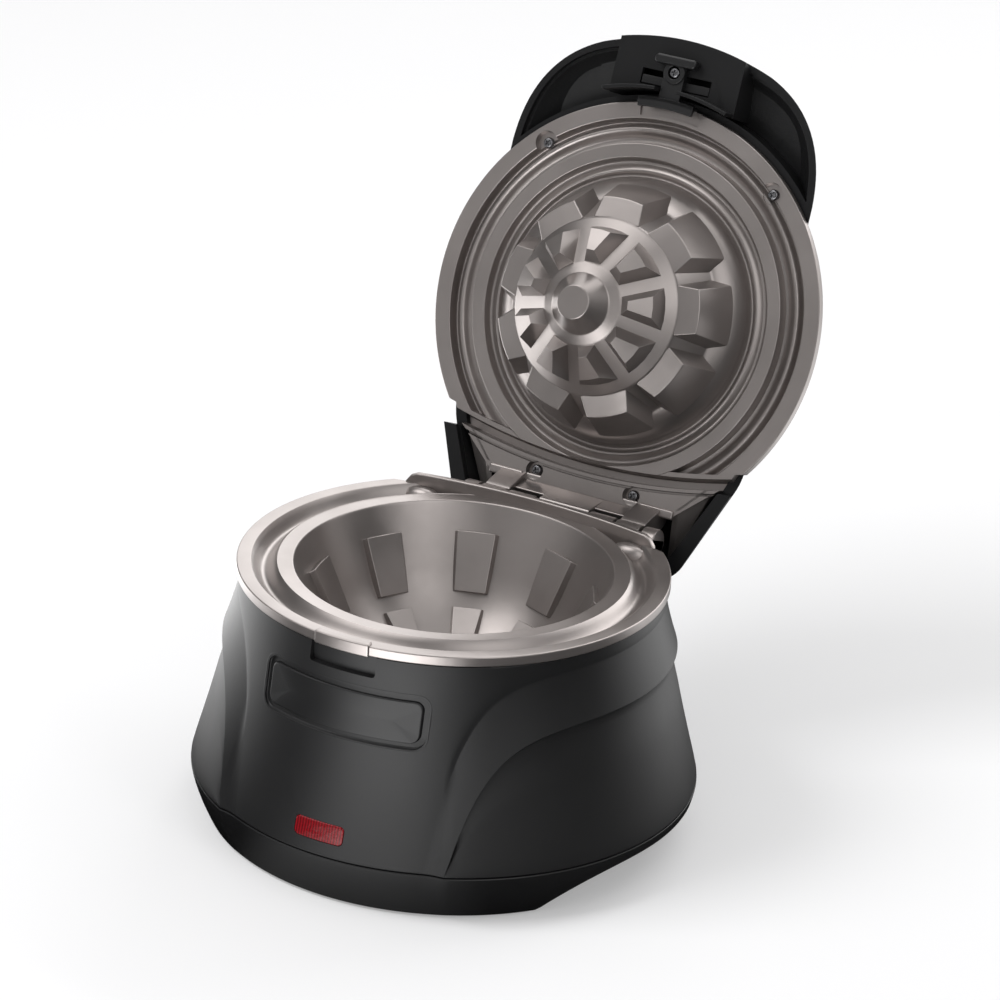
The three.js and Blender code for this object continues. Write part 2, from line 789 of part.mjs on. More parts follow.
const shieldFloor = -cavityDepth - castWall - thermostatHeight * 0.75 - shieldThick;

function thermostat() {
  const top = -cavityDepth - castWall - seatGap;
  const body = disc(thermostatRadius, top - thermostatHeight, top, 24);
  const blades = [-1, 1].map((side) => block(
    [side * thermostatRadius / 2 - bodyWall / 2, -shieldThick / 2, top - thermostatHeight * 1.8],
    [side * thermostatRadius / 2 + bodyWall / 2, shieldThick / 2, top - thermostatHeight / 2]));
  return body.add(join(blades));
}

function thermalFuse() {
  const y = cavityRadius * 0.4;
  const z = shieldFloor - seatGap - fuseRadius;
  return bar(fuseRadius, [-fuseLength / 2, y, z], [fuseLength / 2, y, z], 12);
}

function terminalBlock() {
  const [width, depth, height] = terminalSize;
  const low = panelTop + seatGap;
  const body = block([-width / 2, terminalY - depth / 2, low],
    [width / 2, terminalY + depth / 2, low + height]);
  const wells = [-1, 0, 1].map((step) => {
    const x = step * width * 0.3;
    return bar(screwRadius * 1.4, [x, terminalY, low + height / 2], [x, terminalY, low + height + overrun]);
  });
  return body.subtract(join(wells));
}

// Cord gland: a collar that grips both faces of the rear wall, with the cord's bore left open
function cordGland() {
  const outside = glandDrop + glandRadius;
  const wallRows = 6;
  const top = Math.min(bodyTopZ, -glandDrop + 2 * glandRadius);
  const bottom = Math.max(seamZ - glandRadius, -outside - glandRadius);
  const outerEnd = seamRadius + glandFlange;
  const innerEnd = flankAt(-glandDrop) - bodyWall - 2 * glandFlange;
  const from = (y) => [0, y, -glandDrop];
  const collar = bar(glandRadius, from(innerEnd), from(outerEnd), glandSides);
  const wallZone = bodyCore(-seatGap, top, bottom, wallRows * 2)
    .subtract(bodyCore(bodyWall + seatGap, top + shortOverrun, bottom - shortOverrun, wallRows * 2));
  const neck = bar(glandNeck, from(innerEnd), from(outerEnd), glandSides);
  const bore = bar(glandBore, from(0), from(outerEnd + overrun), glandSides);
  return collar.subtract(wallZone).add(neck).subtract(bore);
}

function footPad([x, y]) {
  return bar(padRadius, [x, y, tableZ], [x, y, tableZ + padThick], padSides);
}

// Cross-head screw standing on its tip, with the underside of the head at the given height
function screw([x, y], headSeat, direction, length) {
  const headTop = headSeat - direction * screwHeadHeight;
  const tip = headSeat + direction * length;
  const shank = bar(screwRadius, [x, y, headSeat - direction * screwHeadHeight / 2], [x, y, tip]);
  const head = bar(screwHeadRadius, [x, y, headTop], [x, y, headSeat], headSides);
  const arm = screwHeadRadius * 0.62;
  const ends = [headTop + direction * crossDepth, headTop - direction * overrun];
  const [low, high] = [Math.min(...ends), Math.max(...ends)];
  const cross = block([x - arm, y - crossWidth / 2, low], [x + arm, y + crossWidth / 2, high])
    .add(block([x - crossWidth / 2, y - arm, low], [x + crossWidth / 2, y + arm, high]));
  return head.add(shank).subtract(cross);
}

// Upper plate: dome, rings, hinge flange, web, lid knuckles and screw wells
const faceZ = seatGap;
const hingeScrewY = flangeEndY - hingeScrewMargin;
const lidScrewPlaces = [
  bearing(rimRadius - rimBand, frontScrewAngle, -1), bearing(rimRadius - rimBand, frontScrewAngle, 1),
  [-hingeScrewX, hingeScrewY], [hingeScrewX, hingeScrewY],
];
const grooveOuter = cavityRadius + castWall / 4;
const domeRadius = cavityRadius - batterGap;
const hubDepth = cavityDepth - batterFloorGap;
const domeShares = [
  [0.126, 1], [0.23, 0.848], [0.307, 0.814], [0.591, 0.608], [0.667, 0.547], [0.823, 0.21], [0.942, 0.143],
];
const [hubEdge, hubFoot, innerFoot, innerEnd, valley, step, outerEnd] = domeShares.map(
  ([across, deep]) => [domeRadius * across, -hubDepth * deep]);
const domeFace = [
  [0, -hubDepth], hubEdge, hubFoot, innerFoot, innerEnd, valley, step, outerEnd, [domeRadius, faceZ],
];
const screwSeat = faceZ + wellDepth;
const bossFace = faceZ + flangeThick + seatGap;

function upperPlate() {
  const moatCentre = moatInner + moatWidth / 2;
  const face = [
    ...domeFace,
    [domeRadius + grooveDepth * 0.6, faceZ + grooveDepth * 0.85],
    [(domeRadius + grooveOuter) / 2, faceZ + grooveDepth],
    [grooveOuter - grooveDepth * 0.4, faceZ + grooveDepth * 0.7],
    [grooveOuter, faceZ],
    ...moat(moatCentre, faceZ, -moatDepth),
    [upperRimRadius, faceZ],
  ];
  const back = [
    [upperRimRadius, faceZ + upperRimThick],
    [coverRadius - coverWall - 2 * seatGap, faceZ + upperRimThick],
    [coverRadius - coverWall - castWall / 2, bossFace - seatGap],
    [domeRadius - castWall / 2, bossFace - seatGap],
    [outerEnd[0] - castWall / 2, outerEnd[1] + castWall],
    [step[0] - castWall / 2, step[1] + castWall],
    [valley[0] - castWall * 0.6, valley[1] + castWall],
    [innerFoot[0] - castWall * 0.4, innerFoot[1] + castWall],
    [0, innerFoot[1] + castWall],
  ];
  const width = rimRadius * 2;
  const front = block([-width, -width, -standHeight], [width, flangeFrontY, standHeight])
    .add(disc(moatInner, -standHeight, standHeight));
  const plate = turned([...face, ...back]).intersect(front);
  const flange = plank([
    [-flangeCornerHalfWidth, flangeFrontY], [-flangeCornerHalfWidth + castWall, flangeFrontY + castWall],
    [-flangeEndHalfWidth, flangeEndY], [flangeEndHalfWidth, flangeEndY],
    [flangeCornerHalfWidth - castWall, flangeFrontY + castWall], [flangeCornerHalfWidth, flangeFrontY],
  ], faceZ, faceZ + flangeThick).subtract(disc(moatInner - moatWidth / 2, -overrun, overrun))
    .intersect(disc(coverRadius - coverWall - castWall / 2, -overrun, overrun)
      .add(disc(upperRimRadius, faceZ, faceZ + upperRimThick)));
  const knuckle = (side) => {
    const [left, right] = side > 0
      ? [lidKnuckleStart, lidKnuckleStart + lidKnuckleWidth]
      : [-lidKnuckleStart - lidKnuckleWidth, -lidKnuckleStart];
    const arm = sidePlank([
      [flangeEndY - castWall, faceZ + flangeThick],
      [flangeEndY - castWall, faceZ],
      [hingeY - knuckleRadius, hingeZ],
      [hingeY + knuckleRadius, hingeZ],
      [hingeY + knuckleRadius * 0.7, hingeZ + knuckleRadius * 0.7],
      [flangeEndY + castWall, faceZ + flangeThick],
    ], left, right);
    return arm.add(bar(knuckleRadius, [left, hingeY, hingeZ], [right, hingeY, hingeZ], ringSides / 2));
  };
  const bore = bar(pinRadius + runGap, [-rimRadius, hingeY, hingeZ], [rimRadius, hingeY, hingeZ]);
  const swing = (chordRise * hingeDrop) / (hingeY - chordY) + 2 * seatGap;
  const chordSlot = block([-chordHalfWidth - seatGap, chordY - swing, -overrun],
    [chordHalfWidth + seatGap, chordY + chordWall + 2 * seatGap, chordRise + 2 * seatGap]);
  const tabRelief = block([-tabHalfWidth - knuckleGap, -rimRadius * 2, -overrun],
    [tabHalfWidth + knuckleGap, -rimRadius + castWall + knuckleGap, tabRise + 2 * seatGap])
    .subtract(disc(rimRadius - castWall - knuckleGap, -overrun, overrun));
  const wells = lidScrewPlaces.map(([x, y]) => pilot(x, y, -overrun, overrun)
    .add(bar(screwHeadRadius + seatGap, [x, y, -overrun], [x, y, screwSeat])));
  const seatLimit = disc(coverRadius - coverWall - castWall / 2, faceZ, bossFace);
  const seats = lidScrewPlaces.map(([x, y]) => seatLimit
    .intersect(bar(bossRadius, [x, y, faceZ + seatGap], [x, y, bossFace - seatGap])));
  return join([plate, flange, domePads(), ...seats, both(knuckle), both(plateCheek)])
    .subtract(join([bore, tabRelief, chordSlot, ...wells]));
}

// A side wall of the casting that leans out from the flange's edge and runs past the hinge
function plateCheek(side) {
  const foot = [[flangeCornerHalfWidth - 2 * castWall, flangeFrontY + castWall],
    [flangeEndHalfWidth + castWall, flangeEndY - castWall]];
  const crown = [[flangeCornerHalfWidth - 3 * castWall, flangeFrontY + 2 * castWall],
    [cheekEndHalfWidth, cheekEndY]];
  const corners = [];
  for (const [line, z] of [[foot, faceZ], [crown, cheekHeight]]) {
    for (const [x, y] of line) {
      corners.push([side * x, y, z], [side * (x - cheekThick), y, z]);
    }
  }
  return hull(corners);
}

// Raised pads of the dome. Each is a hull of its foot on the dome and its smaller crown, whose corners
// are shares of the dome's radius, of the hub's depth and of half the pitch
function domePads() {
  const pads = [];
  const outerPadShares = [
    [0.667, 0.547, 0.81], [0.822, 0.505, 0.575], [0.667, 0.51, 0.81],
    [0.823, 0.19, 0.92], [0.945, 0.13, 0.68],
  ];
  const innerPadShares = [
    [0.403, 0.904, 0.22], [0.562, 0.794, 0.41], [0.307, 0.79, 0.68], [0.591, 0.58, 0.82],
  ];
  const halfPitch = Math.PI / padCount;
  for (let i = 0; i < padCount; i += 1) {
    const middle = -Math.PI / 2 + 2 * halfPitch * i;
    for (const [table, steps] of [[outerPadShares, 2], [innerPadShares, 1]]) {
      const corners = [];
      for (const [across, deep, wide] of table) {
        for (let step = 0; step <= steps; step += 1) {
          const angle = middle + ((2 * step) / steps - 1) * wide * halfPitch;
          corners.push(polar(domeRadius * across, angle, -hubDepth * deep));
        }
      }
      pads.push(hull(corners));
    }
  }
  return join(pads);
}

// Lid cover: a domed shell with a brim handle at the front, a latch box in its middle, and a tail that
// wraps round the hinge
const coverFoot = faceZ + upperRimThick + seatGap;

function coverDome(inset) {
  const rows = 6;
  const profile = [[0, coverFoot - inset * 2], [coverRadius - inset, coverFoot - inset * 2]];
  for (let i = 0; i <= rows; i += 1) {
    const angle = (i / rows) * (Math.PI / 2);
    const radius = i === rows ? 0 : (coverRadius - inset) * Math.cos(angle);
    profile.push([radius, coverFoot + (coverHeight - inset) * Math.sin(angle)]);
  }
  return turned(profile);
}

// The top of the brim and of the tail: a shallow cone that falls away from the dome
function brimCone(lower) {
  const high = handleLift + handleEdge + brimDrop - lower;
  const edge = handleLift + handleEdge - lower;
  const away = handleReach * 1.3;
  return turned([[0, -standHeight], [away, -standHeight], [away, edge - brimDrop * 0.3],
    [handleReach, edge], [coverRadius * 0.9, high], [0, high]]);
}

// A plank whose sides lean in more and more towards its top
function softPlank(outline, low, high, lean) {
  const loops = [];
  for (let step = 0; step <= roundSteps; step += 1) {
    const share = step / roundSteps;
    loops.push(outline(lean * share ** leanPower).extractPoints(outlineSteps).shape
      .map((point) => [point.x, point.y, low + (high - low) * share]));
  }
  return stack(loops);
}

function handleOutline(inset) {
  const shape = new THREE.Shape();
  const [x, r] = [handleHalfWidth - inset, handleReach - inset];
  const cornerX = handleHalfWidth * 0.56;
  const cornerY = Math.sqrt(r * r - cornerX * cornerX);
  const straightY = handleReach * 0.52;
  const swing = Math.atan2(cornerX, cornerY);
  shape.moveTo(-x, 0);
  shape.lineTo(-x, -straightY);
  shape.quadraticCurveTo(-x + handleHalfWidth * 0.02, -handleReach * 0.83 + inset * 0.5, -cornerX, -cornerY);
  shape.absarc(0, 0, r, -Math.PI / 2 - swing, -Math.PI / 2 + swing);
  shape.quadraticCurveTo(x - handleHalfWidth * 0.02, -handleReach * 0.83 + inset * 0.5, x, -straightY);
  shape.lineTo(x, 0);
  return shape;
}

function tailOutline(inset, backWall = 0) {
  const x0 = tailHalfWidth - inset;
  const x1 = tailEndHalfWidth - inset;
  const y1 = tailEndY - backWall - Math.min(inset, coverWall);
  return polygon([[-x0, 0], [x0, 0], [x0, tailY],
    [x1 + tailWall * 0.3, y1 - tailWall * 0.7], [x1 - tailWall * 0.6, y1],
    [-x1 + tailWall * 0.6, y1], [-x1 - tailWall * 0.3, y1 - tailWall * 0.7], [-x0, tailY]]);
}

const brimTop = handleLift + handleEdge + brimDrop;
const boxFloor = -boxHang;
const boxCeiling = handleLift + handleEdge - boxWall;
const boxFront = handleReach + boxProud;

function lidCover() {
  const brim = softPlank(handleOutline, handleLift, brimTop, handleLean).intersect(brimCone(0));
  const tail = softPlank(tailOutline, -tailHang, brimTop, tailLean)
    .subtract(block([-standHeight, -standHeight, -standHeight], [standHeight, tailStartY, coverFoot]));
  const plateRoom = disc(upperRimRadius + 2 * seatGap, -standHeight, coverFoot - seatGap / 2);
  const innerWall = upperRimRadius + handleRim;
  const brimHollow = plank(handleOutline(handleRim), -standHeight, handleLift + coverWall).add(
    softPlank((inset) => handleOutline(inset + handleRim), handleLift, brimTop - coverWall, handleLean))
    .intersect(brimCone(coverWall)).subtract(disc(innerWall, -standHeight, standHeight));
  const tailHollow = softPlank((inset) => tailOutline(inset + tailWall, coverWall), -tailHang, brimTop - coverWall,
    tailLean + coverWall - tailWall);
  const rearOnly = block([-standHeight, 0, -standHeight], [standHeight, standHeight, standHeight]);
  const tailRoom = tailHollow.add(plank(tailOutline(tailWall, coverWall), -standHeight, 0)).intersect(rearOnly);
  const frontOnly = block([-standHeight, -standHeight * 2, -standHeight], [standHeight, 0, standHeight]);
  const shell = coverDome(0).add(brim).add(tail)
    .subtract(coverDome(coverWall)).subtract(plateRoom)
    .subtract(brimHollow.intersect(frontOnly)).subtract(tailRoom);
  const bosses = lidScrewPlaces.map(([x, y]) => bar(bossRadius, [x, y, bossFace], [x, y, standHeight]));
  const lining = coverDome(coverWall / 2)
    .add(softPlank((inset) => tailOutline(inset + coverWall / 2), -tailHang,
      brimTop - coverWall / 2, tailLean));
  const pilots = lidScrewPlaces.map(([x, y]) => pilot(x, y, -standHeight, bossFace + screwBite));
  return shell.add(join(bosses).intersect(lining)).add(latchBox())
    .subtract(latchWindow()).subtract(join(pilots));
}

function boxOutline(inset) {
  return handleOutline(inset - boxProud);
}

// Latch box: a closed tray in the middle of the handle, whose inner wall hangs down as a shroud
function latchBox() {
  const span = (half, low, high) => block([-half, -standHeight * 2, low], [half, -chordY, high]);
  const sector = softPlank(boxOutline, boxFloor, brimTop, handleLean).intersect(brimCone(0))
    .subtract(disc(shroudRadius, -standHeight, standHeight))
    .intersect(span(boxHalfWidth, boxFloor, standHeight));
  const room = softPlank((inset) => boxOutline(inset + boxWall), boxFloor, brimTop, handleLean)
    .subtract(disc(shroudOuter, -standHeight, standHeight))
    .intersect(span(boxHalfWidth - boxWall, boxFloor + boxHang, boxCeiling));
  const shroud = ring(shroudRadius, shroudOuter, -shroudHang, handleLift + coverWall)
    .intersect(span(boxHalfWidth, -shroudHang, handleLift + coverWall));
  return sector.subtract(room).add(shroud);
}

// The slot for the stem, the window for the carriage's wings and the tongue behind the screw
function latchWindow() {
  const stemSlot = block([-stemHalfWidth - runGap, -shroudOuter - runGap, -standHeight],
    [stemHalfWidth + runGap, -shroudRadius + shroudThick, boxFloor + boxHang]);
  const wings = block([-carriageHalfWidth - runGap, -wingFront - latchTravel - runGap, -standHeight],
    [carriageHalfWidth + runGap, -wingBack + runGap, boxFloor + boxHang + runGap]);
  const tongue = block([-tongueHalfWidth - runGap, -tongueFront - latchTravel - runGap, -standHeight],
    [tongueHalfWidth + runGap, -wingBack, boxFloor + boxHang + runGap]);
  return join([stemSlot, wings, tongue]);
}

// Latch: a T-shaped slide under the box with a hook that reaches under the lower plate's tab
const hookInner = rimRadius + tabReach + runGap;
const hookOuter = hookInner + hookWall;
const stemTop = boxFloor - seatGap;
const ledgeZ = -rimThick - tabRise / 2 - runGap;
const hookBottom = ledgeZ - hookThick;
const wingBack = shroudOuter + runGap;
const wingFront = wingBack + carriageDepth;
const tongueHalfWidth = screwRadius + bossWall;
const tongueFront = latchScrewY + tongueHalfWidth;

function latchSlide() {
  const arc = (inner, outer, low, high) => ring(inner, outer, low, high)
    .intersect(block([-hookHalfWidth, -standHeight * 2, low], [hookHalfWidth, -chordY, high]));
  const wall = arc(hookInner, hookOuter, hookBottom, stemTop);
  const ledge = arc(hookInner - hookLedge, hookOuter, hookBottom, ledgeZ);
  const stem = block([-stemHalfWidth, -gripY, stemTop - stemThick],
    [stemHalfWidth, -hookInner - hookWall / 2, stemTop]);
  const boss = bar(stemHalfWidth,
    [0, -latchScrewY, stemTop - stemThick - screwHeadHeight / 2], [0, -latchScrewY, stemTop], padSides);
  const grip = plank(roundedRectangle(gripHalfWidth, gripDepth / 2, gripDepth / 2 - seatGap, -gripY),
    stemTop - gripHang, stemTop, 4);
  const well = bar(screwHeadRadius + seatGap,
    [0, -latchScrewY, -standHeight], [0, -latchScrewY, stemTop - stemThick / 2]);
  return join([wall, ledge, stem, boss, grip])
    .subtract(well.add(pilot(0, -latchScrewY, -standHeight, standHeight)));
}

// Carriage: a slide inside the box that shows in the window and takes the latch screw
function latchCarriage() {
  const low = boxFloor + seatGap;
  const high = boxFloor + boxHang + carriageThick;
  const wings = block([-carriageHalfWidth, -wingFront, low], [carriageHalfWidth, -wingBack, high]);
  const tongue = block([-tongueHalfWidth, -tongueFront, low], [tongueHalfWidth, -wingBack, high]);
  return wings.add(tongue).subtract(pilot(0, -latchScrewY, -standHeight, high - boxWall));
}

// Return spring: a helix of wire between the tongue and the front wall of the box
function latchSpring() {
  const start = tongueFront + seatGap;
  const z = boxFloor + boxHang + springRadius + springWire;
  const topShare = (z + springRadius + springWire - boxFloor) / (brimTop - boxFloor);
  const end = boxFront - boxWall - handleLean * topShare ** leanPower - seatGap;
  const stepsPerTurn = 8;
  const points = [];
  const rise = (end - start - springWire) / (springTurns * stepsPerTurn);
  for (let i = 0; i <= springTurns * stepsPerTurn; i += 1) {
    const angle = (i / stepsPerTurn) * 2 * Math.PI;
    points.push(new THREE.Vector3(springRadius * Math.cos(angle),
      -start - springWire / 2 - i * rise, z + springRadius * Math.sin(angle)));
  }
  return bareSolid(wireTube(points, springWire / 2, 5));
}

// An unbroken tube of flat rings along a list of points, closed at both ends
function wireTube(path, radius, sides) {
  const points = [];
  const faces = [];
  const up = new THREE.Vector3(0, 1, 0);
  path.forEach((point, i) => {
    const ahead = path[Math.min(i + 1, path.length - 1)].clone().sub(path[Math.max(i - 1, 0)]).normalize();
    const across = up.clone().cross(ahead).normalize();
    const rise = ahead.clone().cross(across);
    for (let k = 0; k < sides; k += 1) {
      const angle = (2 * Math.PI * k) / sides;
      const spot = point.clone().addScaledVector(across, radius * Math.cos(angle))
        .addScaledVector(rise, radius * Math.sin(angle));
      points.push(spot.x, spot.y, spot.z);
    }
  });
  for (let i = 0; i < path.length - 1; i += 1) {
    for (let k = 0; k < sides; k += 1) {
      const [a, b] = [i * sides + k, i * sides + ((k + 1) % sides)];
      faces.push(a, b, b + sides, a, b + sides, a + sides);
    }
  }
  const last = (path.length - 1) * sides;
  for (let k = 1; k < sides - 1; k += 1) {
    faces.push(0, k + 1, k);
    faces.push(last, last + k, last + k + 1);
  }
  const tube = new THREE.BufferGeometry();
  tube.setAttribute('position', new THREE.Float32BufferAttribute(points, 3));
  tube.setIndex(faces);
  return tube;
}

// Heat shield of the lid: a shallow pan close round the ring, standing on the back of the plate, with a
// hole for each end of the ring
const upperRingRadius = (domeRadius + cavityRadius) / 2;
const upperRingZ = bossFace + elementRadius;

function upperShield() {
  const low = bossFace;
  const high = upperRingZ + elementRadius + 2 * castWall;
  const panRadius = upperRingRadius + elementRadius + 2 * seatGap + shieldThick;
  const profile = [
    [0, high], [upperRingRadius, high], [panRadius, upperRingZ + elementRadius], [panRadius, low],
  ];
  const back = offsetLine(profile, -shieldThick).reverse();
  const pan = turned([...profile, ...back], ringSides);
  const holes = [-1, 1].map((side) => {
    const angle = Math.PI / 2 + (side * elementLead) / upperRingRadius;
    const [x, y] = polar(upperRingRadius, angle, high);
    return bar(elementRadius * 0.6 + 2 * seatGap, [x, y, low], [x, y, high + overrun]);
  });
  return pan.subtract(join(holes));
}

// Materials
function finish(color, roughness, metalness) {
  return new THREE.MeshStandardMaterial({ color, roughness, metalness });
}

const blackShell = finish(0x17181a, 0.38, 0);
const softBlack = finish(0x101112, 0.6, 0);
const coatedCast = finish(0x8b827f, 0.42, 0.65);
const plaqueBlack = finish(0x1b1c1e, 0.5, 0);
const redLens = finish(0x7a0d0f, 0.2, 0);
const warmGlass = finish(0xd8b48a, 0.15, 0);
const steel = finish(0x9a9b9d, 0.35, 0.9);
const bright = finish(0xb9babc, 0.3, 0.95);
const padRubber = finish(0x1a1a1a, 0.85, 0);
const ceramic = finish(0xd9d4c7, 0.7, 0);
const brown = finish(0x4a3222, 0.6, 0);

const assembly = new THREE.Group();

function place(group, name, body, material) {
  const { vertProperties, triVerts } = body.getMesh();
  const geometry = new THREE.BufferGeometry();
  geometry.setAttribute('position', new THREE.BufferAttribute(new Float32Array(vertProperties), 3));
  geometry.setIndex(new THREE.BufferAttribute(new Uint32Array(triVerts), 1));
  geometry.computeVertexNormals();
  const mesh = new THREE.Mesh(geometry, material);
  mesh.name = name;
  group.add(mesh);
  return mesh;
}

// Base
const base = new THREE.Group();
place(base, 'base_housing', baseHousing(), blackShell);
place(base, 'bottom_cover', bottomCover(), blackShell);
place(base, 'lower_plate', lowerPlate(), coatedCast);
place(base, 'name_plaque', namePlaque(), plaqueBlack);
place(base, 'indicator_lens', indicatorLens(), redLens);
place(base, 'neon_lamp', neonLamp(), warmGlass);
place(base, 'lamp_holder', lampHolder(), softBlack);
place(base, 'lower_heating_ring',
  heatingRing(lowerRing.radius, lowerRing.z, lowerRing.z - elementLead, Math.PI / 2), steel);
place(base, 'lower_heat_shield', lowerShield(), bright);
place(base, 'thermostat', thermostat(), ceramic);
place(base, 'thermal_fuse', thermalFuse(), bright);
place(base, 'terminal_block', terminalBlock(), brown);
place(base, 'cord_gland', cordGland(), softBlack);
footPlaces().forEach((spot, i) => place(base, `foot_pad_${i + 1}`, footPad(spot), padRubber));
coverScrewBearings.forEach(([angle, side], i) => {
  const spot = bearing(coverScrewRadius, angle, side);
  place(base, `cover_screw_${i + 1}`, screw(spot, panelBottom - seatGap, 1, bossReach / 2), steel);
});
lugBearings.forEach(([angle, side], i) => {
  const body = screw(bearing(lugRadius, angle, side), lugTop - lugThick - seatGap, 1, lugThick + screwBite);
  place(base, `plate_screw_${i + 1}`, body, steel);
});
place(base, 'hinge_pin_left', hingePin(-1), steel);
place(base, 'hinge_pin_right', hingePin(1), steel);

// Lid, turned open about the hinge axis, with the latch as a group inside it
const lid = new THREE.Group();
lid.position.set(0, hingeY, hingeZ);
lid.rotation.x = -openAngle * degree;
const lidFrame = new THREE.Group();
lidFrame.position.set(0, -hingeY, -hingeZ);
lid.add(lidFrame);
place(lidFrame, 'lid_cover', lidCover(), blackShell);
place(lidFrame, 'upper_plate', upperPlate(), coatedCast);
place(lidFrame, 'upper_heating_ring',
  heatingRing(upperRingRadius, upperRingZ, upperRingZ + elementLead, Math.PI / 2), steel);
place(lidFrame, 'upper_heat_shield', upperShield(), bright);
lidScrewPlaces.forEach((spot, i) => {
  const body = screw(spot, screwSeat - seatGap, 1, bossFace - screwSeat + screwBite / 2);
  place(lidFrame, `lid_screw_${i + 1}`, body, steel);
});
place(lidFrame, 'latch_spring', latchSpring(), bright);

const latch = new THREE.Group();
place(latch, 'latch_slide', latchSlide(), softBlack);
place(latch, 'latch_carriage', latchCarriage(), softBlack);
const latchScrewLength = stemThick / 2 + boxHang + carriageThick - boxWall;
place(latch, 'latch_screw',
  screw([0, -latchScrewY], stemTop - stemThick / 2 - seatGap, 1, latchScrewLength), steel);
lidFrame.add(latch);

assembly.add(base, lid);
assembly.position.z = standHeight;
assembly.updateMatrixWorld(true);
const bounds = new THREE.Box3().setFromObject(assembly, true);
assembly.position.y = -(bounds.min.y + bounds.max.y) / 2;
assembly.updateMatrixWorld(true);

export default assembly;
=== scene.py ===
import json
import math

import bmesh
import bpy
import numpy as np
from mathutils import Matrix, Vector


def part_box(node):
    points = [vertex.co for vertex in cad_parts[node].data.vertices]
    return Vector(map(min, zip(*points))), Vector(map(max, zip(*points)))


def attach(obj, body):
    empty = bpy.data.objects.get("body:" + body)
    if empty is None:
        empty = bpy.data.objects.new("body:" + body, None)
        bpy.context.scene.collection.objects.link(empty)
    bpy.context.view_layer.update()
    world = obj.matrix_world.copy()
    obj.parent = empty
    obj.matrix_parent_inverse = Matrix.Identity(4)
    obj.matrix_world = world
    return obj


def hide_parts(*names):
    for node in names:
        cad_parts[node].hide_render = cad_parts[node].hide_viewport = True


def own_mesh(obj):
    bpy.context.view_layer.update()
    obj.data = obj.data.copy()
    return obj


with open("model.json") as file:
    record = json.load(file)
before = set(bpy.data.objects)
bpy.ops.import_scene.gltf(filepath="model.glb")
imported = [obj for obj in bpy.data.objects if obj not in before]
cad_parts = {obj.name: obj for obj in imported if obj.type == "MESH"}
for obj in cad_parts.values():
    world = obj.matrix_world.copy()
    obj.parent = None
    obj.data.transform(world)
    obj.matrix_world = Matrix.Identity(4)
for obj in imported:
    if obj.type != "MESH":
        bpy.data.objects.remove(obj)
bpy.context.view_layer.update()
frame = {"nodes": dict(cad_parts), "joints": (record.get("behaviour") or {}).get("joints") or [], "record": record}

# Stage: a camera at the photograph's angle over a plain pale floor, a large soft lamp above and to
# the left, a second one low on the right and a strip behind, all mild enough to keep colours true.
MM = 0.001
PLATE_HEIGHT = 108.0
HINGE_BACK = 89.2
HINGE_DROP = 12.7
OPEN_ANGLE = math.radians(112)
hinge = next(joint for joint in frame["joints"] if joint["name"] == "lid_hinge")
plate_middle = np.array([0.0, hinge["pos_m"][1] - HINGE_BACK * MM, PLATE_HEIGHT * MM])

CAMERA_TURN = math.radians(28.2375)
CAMERA_TILT = math.radians(23.5293)
CAMERA_ROLL = math.radians(3.1164)
CAMERA_DISTANCE = 1.84804
CAMERA_SIDE = -0.018246
CAMERA_DROP = -0.02523
LENS_LENGTH = 167.457
SENSOR_WIDTH = 36
ROOM_LEVEL, ROOM_REFLECTED = 0.62, 0.1
REFLECTED_PANELS = ((-125, 20, 46, 0.42), (-147, 62, 30, 3.2), (84, 27, 60, 3.4), (-50, 18, 40, 0.85),
                    (-28, 44, 30, 1.3), (0, 90, 45, 0.4))
FLOOR_SIZE = 30
FLOOR_COLOUR = (0.82, 0.82, 0.83, 1)
FLOOR_GLOW, FLOOR_GLOW_SHARE = 1.3, 0.22
FLOOR_CLEAR_START, FLOOR_CLEAR_END = 0.11, 0.32
FLOOR_REFLECTED = 0.07
FLOOR_PANELS = ((165, 60, 3.4), (-86, 27, 5.0), (48, 34, 1.8))


def set_camera():
    level = Vector((math.cos(CAMERA_TURN), math.sin(CAMERA_TURN), 0))
    back = Vector((math.sin(CAMERA_TURN) * math.cos(CAMERA_TILT),
                   -math.cos(CAMERA_TURN) * math.cos(CAMERA_TILT), math.sin(CAMERA_TILT)))
    above = back.cross(level)
    right = math.cos(CAMERA_ROLL) * level + math.sin(CAMERA_ROLL) * above
    up = math.cos(CAMERA_ROLL) * above - math.sin(CAMERA_ROLL) * level
    place = Vector(plate_middle) + back * CAMERA_DISTANCE - right * CAMERA_SIDE - up * CAMERA_DROP
    camera = bpy.data.objects.new("camera", bpy.data.cameras.new("camera"))
    camera.data.lens = LENS_LENGTH
    camera.data.sensor_width = SENSOR_WIDTH
    camera.data.sensor_fit = "HORIZONTAL"
    camera.data.clip_end = 60
    camera.matrix_world = Matrix.Translation(place) @ Matrix((right, up, back)).transposed().to_4x4()
    bpy.context.scene.collection.objects.link(camera)
    bpy.context.scene.camera = camera


def soft_lamp(name, place, aim, size, power):
    lamp = bpy.data.lights.new(name, "AREA")
    lamp.shape = "RECTANGLE"
    lamp.size, lamp.size_y = size
    lamp.energy = power
    holder = bpy.data.objects.new(name, lamp)
    holder.location = place
    holder.rotation_euler = (Vector(place) - Vector(aim)).to_track_quat("Z", "Y").to_euler()
    holder.visible_glossy = False
    bpy.context.scene.collection.objects.link(holder)


